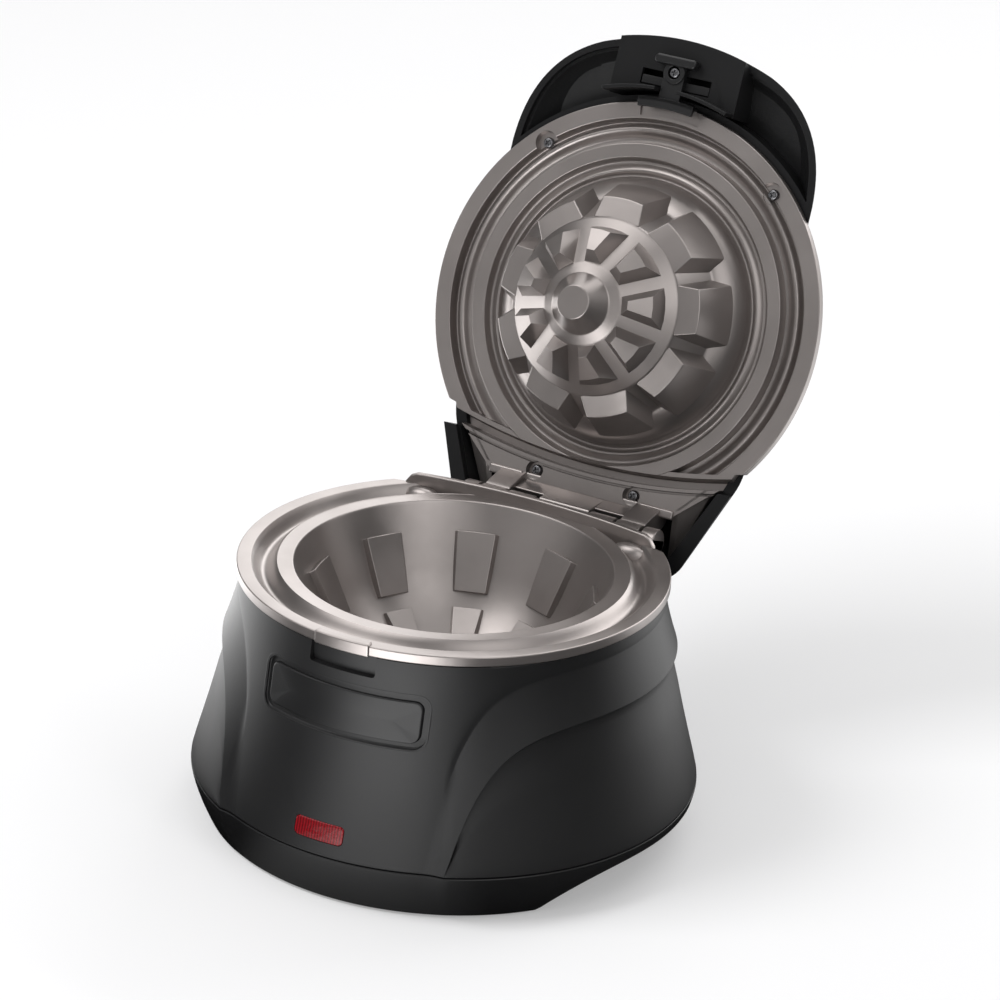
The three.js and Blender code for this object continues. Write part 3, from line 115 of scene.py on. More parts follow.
def reflected_panel(nodes, links, direction, level, turn, height, reach, strength):
    """Adds a soft round panel to what shiny surfaces see: its bearing, height, reach and strength."""
    turn, height = math.radians(turn), math.radians(height)
    aim = nodes.new("ShaderNodeVectorMath")
    aim.operation = "DOT_PRODUCT"
    aim.inputs[1].default_value = (math.cos(turn) * math.cos(height), math.sin(turn) * math.cos(height),
                                   math.sin(height))
    links.new(direction, aim.inputs[0])
    edge = nodes.new("ShaderNodeMapRange")
    edge.interpolation_type = "SMOOTHSTEP"
    for key, amount in (("From Min", math.cos(math.radians(reach))), ("From Max", 1.0), ("To Min", 0.0),
                        ("To Max", strength)):
        edge.inputs[key].default_value = amount
    links.new(aim.outputs["Value"], edge.inputs["Value"])
    total = nodes.new("ShaderNodeMath")
    if isinstance(level, float):
        total.inputs[1].default_value = level
    else:
        links.new(level, total.inputs[1])
    links.new(edge.outputs["Result"], total.inputs[0])
    return total.outputs[0]


def pale_floor():
    """Plain to the eye. Shiny surfaces see it dim near the object, with a few soft panels further out."""
    bpy.ops.mesh.primitive_grid_add(x_subdivisions=2, y_subdivisions=2, size=FLOOR_SIZE)
    floor = bpy.context.object
    floor.name = "floor"
    paint = bpy.data.materials.new("pale_floor")
    paint.use_nodes = True
    nodes, links = paint.node_tree.nodes, paint.node_tree.links
    matt = nodes["Principled BSDF"]
    matt.inputs["Base Color"].default_value = FLOOR_COLOUR
    matt.inputs["Roughness"].default_value = 0.9
    matt.inputs["Specular IOR Level"].default_value = 0.1
    glow = nodes.new("ShaderNodeEmission")
    glow.inputs["Strength"].default_value = FLOOR_GLOW
    seen = nodes.new("ShaderNodeLightPath")
    share = nodes.new("ShaderNodeMath")
    share.operation = "MULTIPLY"
    share.inputs[1].default_value = FLOOR_GLOW_SHARE
    mixed = nodes.new("ShaderNodeMixShader")
    links.new(seen.outputs["Is Camera Ray"], share.inputs[0])
    links.new(share.outputs[0], mixed.inputs["Fac"])
    links.new(matt.outputs["BSDF"], mixed.inputs[1])
    links.new(glow.outputs["Emission"], mixed.inputs[2])
    spot = nodes.new("ShaderNodeNewGeometry").outputs["Position"]
    outwards = nodes.new("ShaderNodeVectorMath")
    outwards.operation = "NORMALIZE"
    links.new(spot, outwards.inputs[0])
    level = FLOOR_REFLECTED
    for turn, reach, strength in FLOOR_PANELS:
        level = reflected_panel(nodes, links, outwards.outputs[0], level, turn, 0, reach, strength)
    away = nodes.new("ShaderNodeVectorMath")
    away.operation = "LENGTH"
    links.new(spot, away.inputs[0])
    clear = nodes.new("ShaderNodeMapRange")
    clear.interpolation_type = "SMOOTHSTEP"
    clear.inputs["From Min"].default_value = FLOOR_CLEAR_START
    clear.inputs["From Max"].default_value = FLOOR_CLEAR_END
    links.new(away.outputs["Value"], clear.inputs["Value"])
    faded = nodes.new("ShaderNodeMath")
    faded.operation = "MULTIPLY"
    links.new(level, faded.inputs[0])
    links.new(clear.outputs["Result"], faded.inputs[1])
    mirrored = nodes.new("ShaderNodeEmission")
    links.new(faded.outputs[0], mirrored.inputs["Strength"])
    chosen = nodes.new("ShaderNodeMixShader")
    links.new(seen.outputs["Is Glossy Ray"], chosen.inputs["Fac"])
    links.new(mixed.outputs["Shader"], chosen.inputs[1])
    links.new(mirrored.outputs["Emission"], chosen.inputs[2])
    links.new(chosen.outputs["Shader"], nodes["Material Output"].inputs["Surface"])
    floor.data.materials.append(paint)


def pale_room():
    """An even pale room for soft light. Shiny surfaces see a dimmer one with a few soft panels."""
    room = bpy.data.worlds.new("pale_room")
    bpy.context.scene.world = room
    room.use_nodes = True
    nodes, links = room.node_tree.nodes, room.node_tree.links
    direction = nodes.new("ShaderNodeTexCoord").outputs["Generated"]
    level = ROOM_REFLECTED
    for turn, height, reach, strength in REFLECTED_PANELS:
        level = reflected_panel(nodes, links, direction, level, turn, height, reach, strength)
    seen = nodes.new("ShaderNodeLightPath")
    chosen = nodes.new("ShaderNodeMix")
    chosen.inputs["A"].default_value = ROOM_LEVEL
    links.new(seen.outputs["Is Glossy Ray"], chosen.inputs["Factor"])
    links.new(level, chosen.inputs["B"])
    links.new(chosen.outputs["Result"], nodes["Background"].inputs["Strength"])
    nodes["Background"].inputs["Color"].default_value = (1.0, 0.995, 0.99, 1)


set_camera()
pale_floor()
pale_room()
soft_lamp("lamp_above_left", (-0.9, -0.9, 1.5), (0, 0, 0.12), (0.9, 0.9), 20)
soft_lamp("lamp_low_right", (1.5, -0.7, 0.7), (0, 0, 0.12), (0.5, 0.9), 3)
soft_lamp("strip_behind", (0.2, 1.3, 1.2), (0, 0, 0.15), (1.4, 0.3), 8)
bpy.context.scene.view_settings.view_transform = "Standard"

# Bottom cover: the lower black moulding. A tapered skirt, cut into a low arch on each side, stands
# on four posts with feet; a slotted panel closes it and four screws from below hold it.
WELD = 0.002
SIDES = 192
SEAM_DROP = 87.0
SEAM_RADIUS = 102.4
FOOT_RADIUS = 94.6
NECK_RADIUS = 85.0
TONGUE_FOOT_RADIUS = 100.3
NECK_CURVE = 1.4
SHOULDER_DROP = 30.0
SHOULDER_RADIUS = 90.4
COVE_HEIGHT = 20.0
FLANK_CURVE = 1.2
TONGUE_ANGLE, TONGUE_FADE = 30.0, 8.5
COVE_ANGLE, COVE_FADE = 25.0, 7.8
SKIRT_LIFT = 1.0
ARCH_HEIGHT = 15.4
ARCH_MIDDLE, ARCH_HALF, ARCH_POWER = 90.0, 37.0, 3.5
WALL = 2.6
SEAT_GAP = 0.3
PANEL_DROP, PANEL_THICK = 1.5, 2.5
FOOT_POST_RADIUS, FOOT_THICK, POST_DRAFT = 8.0, 2.6, 0.6
SCREW_RADIUS = 1.5
BOSS_WALL = 2.6
BOSS_RADIUS = SCREW_RADIUS + BOSS_WALL
COVER_SCREW_RADIUS = SEAM_RADIUS - WALL - 2 * BOSS_RADIUS
SCREW_ANGLES = (45, 135)
COVER_EDGE = 0.7
COVER_ROLL = ((0.9, 0.0), (0.35, 0.1), (0.05, 0.45))
FEET = ("foot_pad_1", "foot_pad_2", "foot_pad_3", "foot_pad_4")


def base_place(points):
    return np.asarray(points) * MM + plate_middle


def bearing(radius, angle, side=1):
    turn = np.radians(angle)
    return side * radius * np.sin(turn), -radius * np.cos(turn)


def neck_radius(z):
    share = np.maximum(0, -z / SEAM_DROP)
    return NECK_RADIUS + (TONGUE_FOOT_RADIUS - NECK_RADIUS) * share**NECK_CURVE


def flank_radius(z):
    share = np.maximum(0, (-z - SHOULDER_DROP) / (SEAM_DROP - SHOULDER_DROP))
    return SHOULDER_RADIUS + (SEAM_RADIUS - SHOULDER_RADIUS) * share**FLANK_CURVE


def crest_height(angle):
    fade = np.exp((TONGUE_ANGLE - angle) / TONGUE_FADE)
    return -SHOULDER_DROP - (SEAM_DROP - SHOULDER_DROP) * fade


def cove_height(angle):
    drop = SHOULDER_DROP - COVE_HEIGHT
    fade = np.exp((COVE_ANGLE - angle) / COVE_FADE)
    return -drop - (SEAM_DROP - drop) * fade


def body_radius(angle, z):
    crest, cove = crest_height(angle), cove_height(angle)
    neck, flank = neck_radius(z), flank_radius(z)
    fall = np.clip((cove - z) / (cove - crest), 0, 1)
    proud = flank_radius(crest) - neck_radius(crest)
    swept = np.minimum(neck + proud * fall**2, np.maximum(flank, neck))
    return np.where(z >= cove, neck, np.where(z <= crest, flank, swept))


def solid(name, loops, ends="caps"):
    """A mesh from loops of points: ends are capped, or the last loop is tied to the first."""
    loops = np.asarray(loops, float)
    rows, columns = loops.shape[:2]
    points = [tuple(point) for point in loops.reshape(-1, 3)]
    faces = []
    for row in range(rows if ends == "tied" else rows - 1):
        for column in range(columns):
            near, far = row * columns, ((row + 1) % rows) * columns
            beside = (column + 1) % columns
            faces.append((near + column, near + beside, far + beside, far + column))
    if ends == "caps":
        faces.append(tuple(range(columns))[::-1])
        faces.append(tuple((rows - 1) * columns + column for column in range(columns)))
    return mesh_object(name, points, faces)


def mesh_object(name, points, faces):
    mesh = bpy.data.meshes.new(name)
    mesh.from_pydata(points, [], faces)
    shape = bmesh.new()
    shape.from_mesh(mesh)
    bmesh.ops.remove_doubles(shape, verts=shape.verts, dist=WELD)
    bmesh.ops.recalc_face_normals(shape, faces=shape.faces)
    shape.to_mesh(mesh)
    shape.free()
    made = bpy.data.objects.new(name, mesh)
    bpy.context.scene.collection.objects.link(made)
    return made


def turned(name, profile, sides=SIDES, middle=(0, 0), ends="open"):
    """A profile of radius and height turned about an upright axis."""
    turns = np.arange(sides) * 2 * math.pi / sides
    loops = []
    for r, z in profile:
        loops.append([(middle[0] + r * math.cos(a), middle[1] + r * math.sin(a), z) for a in turns])
    return solid(name, loops, ends)


def rod(name, radius, low, high, sides=SIDES, middle=(0, 0)):
    return turned(name, [(radius, low), (radius, high)], sides, middle, "caps")


def rectangle(half_x, half_y, y=0):
    return [(-half_x, y - half_y), (half_x, y - half_y), (half_x, y + half_y), (-half_x, y + half_y)]


def plank(name, outline, low, high):
    return solid(name, [[(x, y, z) for x, y in outline] for z in (low, high)])


def side_plank(name, outline, left, right):
    return solid(name, [[(x, y, z) for y, z in outline] for x in (left, right)])


def block(name, low, high):
    (x0, y0, z0), (x1, y1, z1) = low, high
    return plank(name, [(x0, y0), (x1, y0), (x1, y1), (x0, y1)], z0, z1)


def eased(points, radius, closed=False, steps=3):
    """The same outline with its corners rounded off, each over less than half of its two sides."""
    most = 0.45
    points = [np.asarray(point, float) for point in points]
    count = len(points)
    made = []
    for i, corner in enumerate(points):
        if not closed and i in (0, count - 1):
            made.append(corner)
            continue
        before, after = points[i - 1] - corner, points[(i + 1) % count] - corner
        size_before, size_after = np.linalg.norm(before), np.linalg.norm(after)
        reach = min(radius, size_before * most, size_after * most)
        start = corner + before / size_before * reach
        end = corner + after / size_after * reach
        for step in range(steps + 1):
            t = step / steps
            made.append((1 - t) ** 2 * start + 2 * t * (1 - t) * corner + t * t * end)
    return made


def flatten(body):
    """The object's modifiers are worked out and kept as its mesh."""
    bpy.context.view_layer.update()
    graph = bpy.context.evaluated_depsgraph_get()
    made = bpy.data.meshes.new_from_object(body.evaluated_get(graph))
    body.modifiers.clear()
    body.data = made
    return body


def drop(*spare):
    for body in spare:
        bpy.data.objects.remove(body)


def carve(body, tools, how="DIFFERENCE"):
    for tool in tools:
        step = body.modifiers.new("carve", "BOOLEAN")
        step.operation = how
        step.solver = "MANIFOLD"
        step.object = tool
    flatten(body)
    drop(*tools)
    return body


def soften(body, width, steps=2, angle=32):
    edge = body.modifiers.new("edge", "BEVEL")
    edge.width = width
    edge.segments = steps
    edge.limit_method = "ANGLE"
    edge.angle_limit = math.radians(angle)
    return flatten(body)


def join(bodies):
    first, *rest = bodies
    shape = bmesh.new()
    for body in bodies:
        shape.from_mesh(body.data)
    shape.to_mesh(first.data)
    shape.free()
    drop(*rest)
    return first


def settle(body, name, place, rides, material, crease=34):
    """The finished piece goes from its drawing to its place in the frame, and rides there."""
    count = len(body.data.vertices)
    points = np.empty(count * 3)
    body.data.vertices.foreach_get("co", points)
    body.data.vertices.foreach_set("co", place(points.reshape(-1, 3)).ravel())
    body.name = name
    body.data.name = name
    body.data.materials.clear()
    body.data.materials.append(material)
    body.data.polygons.foreach_set("material_index", np.zeros(len(body.data.polygons), int))
    body.data.shade_smooth()
    body.data.set_sharp_from_angle(angle=math.radians(crease))
    body.data.update()
    flats = body.modifiers.new("flats", "WEIGHTED_NORMAL")
    flats.keep_sharp = True
    flatten(body)
    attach(body, rides)
    return body


def finish_nodes(name, colour, roughness, metallic=0.0):
    """A new material and its parts, ready for its own pattern."""
    material = bpy.data.materials.new(name)
    material.use_nodes = True
    shader = material.node_tree.nodes["Principled BSDF"]
    shader.inputs["Base Color"].default_value = (*colour, 1)
    shader.inputs["Roughness"].default_value = roughness
    shader.inputs["Metallic"].default_value = metallic
    place = material.node_tree.nodes.new("ShaderNodeTexCoord")
    return material, material.node_tree.nodes, material.node_tree.links, shader, place.outputs["Object"]


def noise(nodes, links, place, scale, detail=3.0, roughness=0.55):
    pattern = nodes.new("ShaderNodeTexNoise")
    pattern.inputs["Scale"].default_value = scale
    pattern.inputs["Detail"].default_value = detail
    pattern.inputs["Roughness"].default_value = roughness
    links.new(place, pattern.inputs["Vector"])
    return pattern.outputs["Fac"]


def spread(nodes, links, value, low, high, start=0.3, end=0.7):
    step = nodes.new("ShaderNodeMapRange")
    for key, amount in (("From Min", start), ("From Max", end), ("To Min", low), ("To Max", high)):
        step.inputs[key].default_value = amount
    links.new(value, step.inputs["Value"])
    return step.outputs["Result"]


def uneven(nodes, links, place, shader, scale, low, high):
    """Roughness that wanders softly from one value to another."""
    cloud = noise(nodes, links, place, scale)
    links.new(spread(nodes, links, cloud, low, high), shader.inputs["Roughness"])


def two_colours(nodes, links, value, first, second, shader):
    mixed = nodes.new("ShaderNodeMix")
    mixed.data_type = "RGBA"
    mixed.inputs["A"].default_value = (*first, 1)
    mixed.inputs["B"].default_value = (*second, 1)
    links.new(value, mixed.inputs["Factor"])
    links.new(mixed.outputs["Result"], shader.inputs["Base Color"])


def bumps(nodes, links, shader, heights):
    """Small relief: each entry is a pattern and its depth in metres."""
    normal = None
    for height, depth in heights:
        step = nodes.new("ShaderNodeBump")
        step.inputs["Distance"].default_value = depth
        step.inputs["Strength"].default_value = 1.0
        links.new(height, step.inputs["Height"])
        if normal:
            links.new(normal, step.inputs["Normal"])
        normal = step.outputs["Normal"]
    links.new(normal, shader.inputs["Normal"])


def moulded_black(name, grain, relief, roughness=0.42, gloss=0.36):
    """Satin black plastic with an eroded mould grain and faint flow marks."""
    tint = (0.0075, 0.0075, 0.008)
    material, nodes, links, shader, place = finish_nodes(name, tint, roughness)
    wide = noise(nodes, links, place, 14, 4)
    fine = noise(nodes, links, place, grain, 2)
    worn = spread(nodes, links, wide, roughness - 0.04, roughness + 0.05)
    links.new(worn, shader.inputs["Roughness"])
    two_colours(nodes, links, spread(nodes, links, wide, 0, 1), tint, (0.0105, 0.0105, 0.011), shader)
    bumps(nodes, links, shader, [(wide, 0.0001), (fine, relief)])
    shader.inputs["Specular IOR Level"].default_value = gloss
    return material


def dress(node, material):
    """A piece that keeps its plain shape from the frame gets its finish."""
    frame["nodes"][node].data.materials.clear()
    frame["nodes"][node].data.materials.append(material)


shell_black = moulded_black("shell_black", 1500, 0.00002)
inside_black = moulded_black("inside_black", 900, 0.00005, 0.55)


def skirt_bottom(angle):
    away = np.minimum(1, np.abs(angle - ARCH_MIDDLE) / ARCH_HALF)
    return -PLATE_HEIGHT + SKIRT_LIFT + ARCH_HEIGHT * (1 - away**ARCH_POWER)


def skirt_radius(angle, z):
    level = np.clip((-SEAM_DROP - z) / (PLATE_HEIGHT - SEAM_DROP), 0, 1)
    top = body_radius(angle, -SEAM_DROP + 0 * angle)
    return top + (FOOT_RADIUS - top) * level**NECK_CURVE


def half_turn(angle):
    return np.where(angle > 180, 360 - angle, angle)


def ring_points(angles, radius, z):
    x, y = bearing(radius, angles)
    return np.stack([x, y, np.broadcast_to(z, x.shape)], axis=1)


def bottom_cover():
    """The skirt with its rolled edges, the slotted panel inside it and a post over each foot."""
    angles = np.arange(0, 360, 1.25)
    off = half_turn(angles)
    top = -SEAM_DROP - SEAT_GAP / 2
    bottom = skirt_bottom(off)
    loops = []
    for inset, drop_by in COVER_ROLL:
        z = top - drop_by + 0 * off
        loops.append(ring_points(angles, skirt_radius(off, z) - inset, z))
    for share in np.linspace(0.06, 1, 9):
        z = top + (bottom + COVER_EDGE - top) * share
        loops.append(ring_points(angles, skirt_radius(off, z), z))
    for turn in (30, 60, 90):
        z = bottom + COVER_EDGE * (1 - math.sin(math.radians(turn)))
        inset = COVER_EDGE * (1 - math.cos(math.radians(turn)))
        loops.append(ring_points(angles, skirt_radius(off, z) - inset, z))
    loops.append(ring_points(angles, skirt_radius(off, bottom) - WALL, bottom))
    for share in (0.5, 1):
        z = bottom + (top - bottom) * share
        loops.append(ring_points(angles, skirt_radius(off, z) - WALL, z))
    skirt = solid("skirt", loops, "tied")
    panel_top = -SEAM_DROP - PANEL_DROP
    panel_bottom = panel_top - PANEL_THICK
    rim = skirt_radius(off, panel_top + 0 * off) - WALL / 2
    panel = solid("panel", [ring_points(angles, rim, panel_bottom), ring_points(angles, rim, panel_top)])
    pitch = 3 * WALL
    slots = []
    for step in range(-2, 3):
        slot_outline = eased(rectangle(2.5 * pitch, WALL / 2, step * pitch), WALL / 2, True)
        slots.append(plank("slot", slot_outline, panel_bottom - WALL, panel_top + WALL))
    for angle in SCREW_ANGLES:
        for side in (-1, 1):
            slots.append(rod("hole", SCREW_RADIUS + SEAT_GAP, panel_bottom - WALL, panel_top + WALL, 24,
                             bearing(COVER_SCREW_RADIUS, angle, side)))
    carve(panel, slots)
    posts = []
    for foot in FEET:
        low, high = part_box(foot)
        spot = ((np.array(low) + np.array(high)) / 2 - plate_middle)[:2] / MM
        foot_top = -PLATE_HEIGHT + FOOT_THICK + SEAT_GAP
        outline = [(0, foot_top), (FOOT_POST_RADIUS, foot_top),
                   (FOOT_POST_RADIUS + POST_DRAFT, panel_bottom), (0, panel_bottom)]
        posts.append(turned("post", eased(outline, POST_DRAFT), 40, spot))
    return join([skirt, panel, *posts])


cover = settle(bottom_cover(), "bottom_cover_shell", base_place, "base", shell_black)
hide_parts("bottom_cover")
rubber, nodes, links, shader, place = finish_nodes("foot_rubber", (0.022, 0.022, 0.022), 0.8)
bumps(nodes, links, shader, [(noise(nodes, links, place, 1800), 0.00003)])
uneven(nodes, links, place, shader, 60, 0.7, 0.9)
for foot in FEET:
    dress(foot, rubber)

# Housing: one black moulding from the plate's rim down to the seam. A plain tongue runs down its front,
# and the flank on each side starts at a raised crest that sweeps up from the seam and on round the back.
RIM_THICK = 4.1
CREST_STEP, COVE_SWELL, COVE_DIP, COVE_REACH = 1.7, 0.5, 0.5, 3.0
HOUSING_ROLL = ((1.1, 0.0), (0.45, 0.12), (0.1, 0.5))
STEP_SECTION = ((0.5, 0.012), (0.95, 0.035), (1, 0.1), (0.85, 0.22))
NOTCH_HALF, NOTCH_DEPTH = 14.5, 9.0
CHORD_BACK, CHORD_WALL = 62.8, 2.6
KNUCKLE_RADIUS, KNUCKLE_GAP = 6.5, 1.2
INNER_KNUCKLE_START, INNER_KNUCKLE_WIDTH = 13.0, 12.0
LID_KNUCKLE_WIDTH, EAR_WIDTH = 11.5, 6.5
LID_KNUCKLE_START = INNER_KNUCKLE_START + INNER_KNUCKLE_WIDTH + KNUCKLE_GAP
EAR_START = LID_KNUCKLE_START + LID_KNUCKLE_WIDTH + KNUCKLE_GAP
EAR_END = EAR_START + EAR_WIDTH
LEDGE_TOP = -HINGE_DROP - BOSS_RADIUS
SHELF_THICK, HINGE_MARGIN = 3.0, 1.0
LEDGE_BOTTOM = LEDGE_TOP - SHELF_THICK
BEYOND = 40.0
PLAQUE_HALF, PLAQUE_TALL, PLAQUE_DROP, PLAQUE_CORNER = 36.6, 11.0, 28.6, 5.0
PLAQUE_BORDER, PLAQUE_DEPTH = 2.6, 1.4
LENS_HALF, LENS_TALL, LENS_DROP, LENS_CORNER = 11.0, 3.9, 77.4, 2.0
LEAST_TALL, LEAST_CORNER, FRONT_BENDS = 0.004, 0.5, 27
RECESS_SECTION = (
    (PLAQUE_TALL, 2.4), (-0.2, 2.4), (-0.7, 0.6), (-0.7, 0.03), (-0.5, -0.05), (-0.15, -0.05), (0.15, 0.05),
    (0.38, 0.28), (0.5, 0.62), (0.6, 1.05), (0.85, 1.32), (1.2, PLAQUE_DEPTH), (PLAQUE_TALL, PLAQUE_DEPTH))
GLAND_NECK, GLAND_DROP = 5.6, 77.0
COVER_BOSS_RISE, PLATE_BOSS_DROP = 22.0, 14.8
RIB_INSET, LUG_THICK = 1.0, 3.0


def rounded_loop(half, tall, corner, steps=6, along=0):
    """A rectangle with round corners; its long sides can have points along them to bend by."""
    corner = min(corner, half, tall)
    loop = []
    for turn, (x, z) in enumerate(((1, -1), (1, 1), (-1, 1), (-1, -1))):
        for step in range(steps + 1):
            angle = math.radians(-90 + 90 * turn + 90 * step / steps)
            loop.append((x * (half - corner) + corner * math.cos(angle),
                         z * (tall - corner) + corner * math.sin(angle)))
        if turn % 2:
            for step in range(1, along + 1):
                loop.append(((1 - 2 * step / (along + 1)) * x * (half - corner), z * tall))
    return loop


def on_front(loop, depth, drop_by):
    """A loop of x and height laid on the front of the body, at a depth below its surface."""
    points = []
    for x, z in loop:
        height = z - drop_by
        radius = float(neck_radius(height)) - depth
        points.append((x, -math.sqrt(radius * radius - x * x), height))
    return points


def front_plug(name, loop, drop_by):
    """A tool that opens the front wall in the shape of the loop."""
    ends = (-NECK_RADIUS - BEYOND, -CHORD_BACK)
    return solid(name, [[(x, y, z - drop_by) for x, z in loop] for y in ends])


def inset_loops(half, tall, corner, drop_by, section):
    """Loops on the body's front. Each entry of the section is how far in from the edge and how deep."""
    loops = []
    for inset, depth in section:
        shrunk = rounded_loop(half - inset, max(tall - inset, LEAST_TALL), max(corner - inset, LEAST_CORNER),
                              along=FRONT_BENDS)
        loops.append(on_front(shrunk, depth, drop_by))
    return loops


def polar(radius, angle, z):
    return radius * math.cos(angle), radius * math.sin(angle), z


def arc_bar(name, inner, outer, low, high, half_width, edge=0.5, steps=24):
    """A bar that follows the front of a circle, as wide to each side as asked."""
    reach = math.asin(half_width / outer)
    loops = []
    for step in range(steps + 1):
        angle = -math.pi / 2 - reach + 2 * reach * step / steps
        loops.append([polar(inner, angle, low), polar(outer, angle, low), polar(outer, angle, high),
                      polar(inner, angle, high)])
    return soften(solid(name, loops), edge, 3, 40)


def housing_outside(angles, off, top, seam):
    """Loops down the outside: the rolled top edge, a faint hollow above the cove line and a swell below
    it, the crest, the step cut in under the crest, and the flank down to the seam."""
    cove = np.clip(cove_height(off), seam + 0.9, top - 2)
    crest = np.clip(crest_height(off), seam + 0.6, top - 3)
    flank_end = seam + 0.5
    step = np.clip((crest - seam - 0.6) / 6, 0, 1)
    loops = []
    for inset, depth in HOUSING_ROLL:
        loops.append(ring_points(angles, body_radius(off, top - depth + 0 * off) - inset, top - depth))
    for share in np.linspace(0.08, 1, 14):
        z = top + (cove - top) * share
        dip = COVE_DIP * step * np.exp((cove - z) / COVE_REACH)
        loops.append(ring_points(angles, body_radius(off, z) - dip, z))
    for share in np.linspace(0.04, 1, 14):
        z = cove + (crest - cove) * share
        swell = step * (COVE_SWELL - (COVE_SWELL + COVE_DIP) * (1 - share) ** 2)
        loops.append(ring_points(angles, body_radius(off, z) + swell, z))
    for depth_share, z_share in STEP_SECTION:
        z = crest + (flank_end - crest) * z_share
        loops.append(ring_points(angles, body_radius(off, z) - CREST_STEP * depth_share * step, z))
    for share in np.linspace(0.34, 1, 10):
        z = crest + (flank_end - crest) * share
        sunk = CREST_STEP * step * np.clip(0.9 - share, 0, 1)
        loops.append(ring_points(angles, body_radius(off, z) - sunk, z))
    for inset, rise in ((0.12, 0.15), (0.5, 0.0)):
        loops.append(ring_points(angles, body_radius(off, seam + rise + 0 * off) - inset, seam + rise))
    return loops


def housing():
    """The shell, outside and inside in one, with its openings, the frame of the plaque's recess and the
    latch pocket."""
    angles = np.arange(0, 360, 1.0)
    off = half_turn(angles)
    top = -RIM_THICK - SEAT_GAP
    seam = -SEAM_DROP + SEAT_GAP
    outer = housing_outside(angles, off, top, seam)
    inner = []
    for share in np.linspace(0, 1, 14):
        z = seam + (top - seam) * share + 0 * off
        inner.append(ring_points(angles, body_radius(off, z) - WALL - CREST_STEP, z))
    shell = solid("housing", outer + inner, "tied")
    notch_floor = -RIM_THICK - NOTCH_DEPTH
    notch = eased([(-NOTCH_HALF, BEYOND), (-NOTCH_HALF, notch_floor), (NOTCH_HALF, notch_floor),
                   (NOTCH_HALF, BEYOND)], 1.2)
    plaque_hole = rounded_loop(PLAQUE_HALF - SEAT_GAP, PLAQUE_TALL - SEAT_GAP, PLAQUE_CORNER)
    cord_loop = rounded_loop(GLAND_NECK + SEAT_GAP, GLAND_NECK + SEAT_GAP, BEYOND, 8)
    cord_ends = (NECK_RADIUS - WALL, SEAM_RADIUS + BEYOND)
    carve(shell, [
        front_plug("notch", notch, 0),
        block("hinge_gap", (-EAR_END - HINGE_MARGIN, CHORD_BACK - CHORD_WALL, LEDGE_BOTTOM - SEAT_GAP),
              (EAR_END + HINGE_MARGIN, SEAM_RADIUS + BEYOND, BEYOND)),
        front_plug("plaque_hole", plaque_hole, PLAQUE_DROP),
        front_plug("lens_hole", rounded_loop(LENS_HALF, LENS_TALL, LENS_CORNER), LENS_DROP),
        solid("cord_hole", [[(x, y, z - GLAND_DROP) for x, z in cord_loop] for y in cord_ends]),
    ])
    recess = solid("recess", inset_loops(PLAQUE_HALF, PLAQUE_TALL, PLAQUE_CORNER, PLAQUE_DROP,
                                         RECESS_SECTION))
    inside = NECK_RADIUS - WALL
    pocket = arc_bar("pocket", inside + 0.05, inside + 1.3, notch_floor - 1, top - 0.4, NOTCH_HALF + 1.2,
                     0.2)
    return join([shell, recess, pocket])


def strip_outline(start, end, half):
    """A straight strip from one point to another, as wide to each side as asked."""
    (x, y), (u, v) = start, end
    across = np.array([v - y, x - u]) / math.hypot(v - y, x - u) * half
    return [(x + across[0], y + across[1]), (u + across[0], v + across[1]),
            (u - across[0], v - across[1]), (x - across[0], y - across[1])]


def fittings_inside():
    """Bosses for the bottom cover's screws and lugs for the plate's, ribbed to the wall."""
    made = []
    bore = SCREW_RADIUS + SEAT_GAP
    boss_foot = -SEAM_DROP + SEAT_GAP
    boss_top = -SEAM_DROP + COVER_BOSS_RISE
    lug_radius = NECK_RADIUS - WALL - 2 * BOSS_WALL - BOSS_RADIUS
    lug_top = -RIM_THICK - PLATE_BOSS_DROP - BOSS_RADIUS - 2 * SEAT_GAP
    tube = [(bore, boss_foot), (BOSS_RADIUS, boss_foot), (BOSS_RADIUS - 0.4, boss_top), (0, boss_top),
            (0, boss_top - BOSS_WALL), (bore, boss_top - BOSS_WALL)]
    for angle in SCREW_ANGLES:
        for side in (-1, 1):
            spot = bearing(COVER_SCREW_RADIUS, angle, side)
            made.append(turned("boss", tube, 32, spot, "tied"))
            rib = strip_outline(spot, bearing(SEAM_RADIUS - WALL * 4.5, angle, side), WALL / 2)
            made.append(plank("rib", rib, -SEAM_DROP + RIB_INSET, boss_top - RIB_INSET))
            spot = bearing(lug_radius, angle, side)
            arm = strip_outline(spot, bearing(NECK_RADIUS - WALL, angle, side), BOSS_RADIUS)
            lug = plank("lug", arm, lug_top - LUG_THICK, lug_top)
            made.append(carve(lug, [rod("hole", bore, -PLATE_HEIGHT, 0, 24, spot)]))
    return join(made)


body_shell = settle(join([housing(), fittings_inside()]), "housing_shell", base_place, "base",
                    shell_black)
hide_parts("base_housing")

# Name plate: a blank black plate with rounded edges, pressed into the recess of the housing's front.
# Its face has a finer grain than the shell round it.
plate_black = moulded_black("plate_black", 2600, 0.000012, 0.36)
plaque_foot = PLAQUE_DEPTH - 0.02
PLAQUE_SECTION = ((PLAQUE_TALL, plaque_foot), (0, plaque_foot), (0.05, 0.95), (0.18, 0.66), (0.42, 0.5),
                  (0.8, 0.45), (PLAQUE_TALL, 0.45))
plaque = solid("plaque", inset_loops(PLAQUE_HALF - PLAQUE_BORDER, PLAQUE_TALL - PLAQUE_BORDER,
                                     PLAQUE_CORNER - PLAQUE_BORDER / 2, PLAQUE_DROP, PLAQUE_SECTION))
settle(plaque, "blank_plaque", base_place, "base", plate_black)
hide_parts("name_plaque")

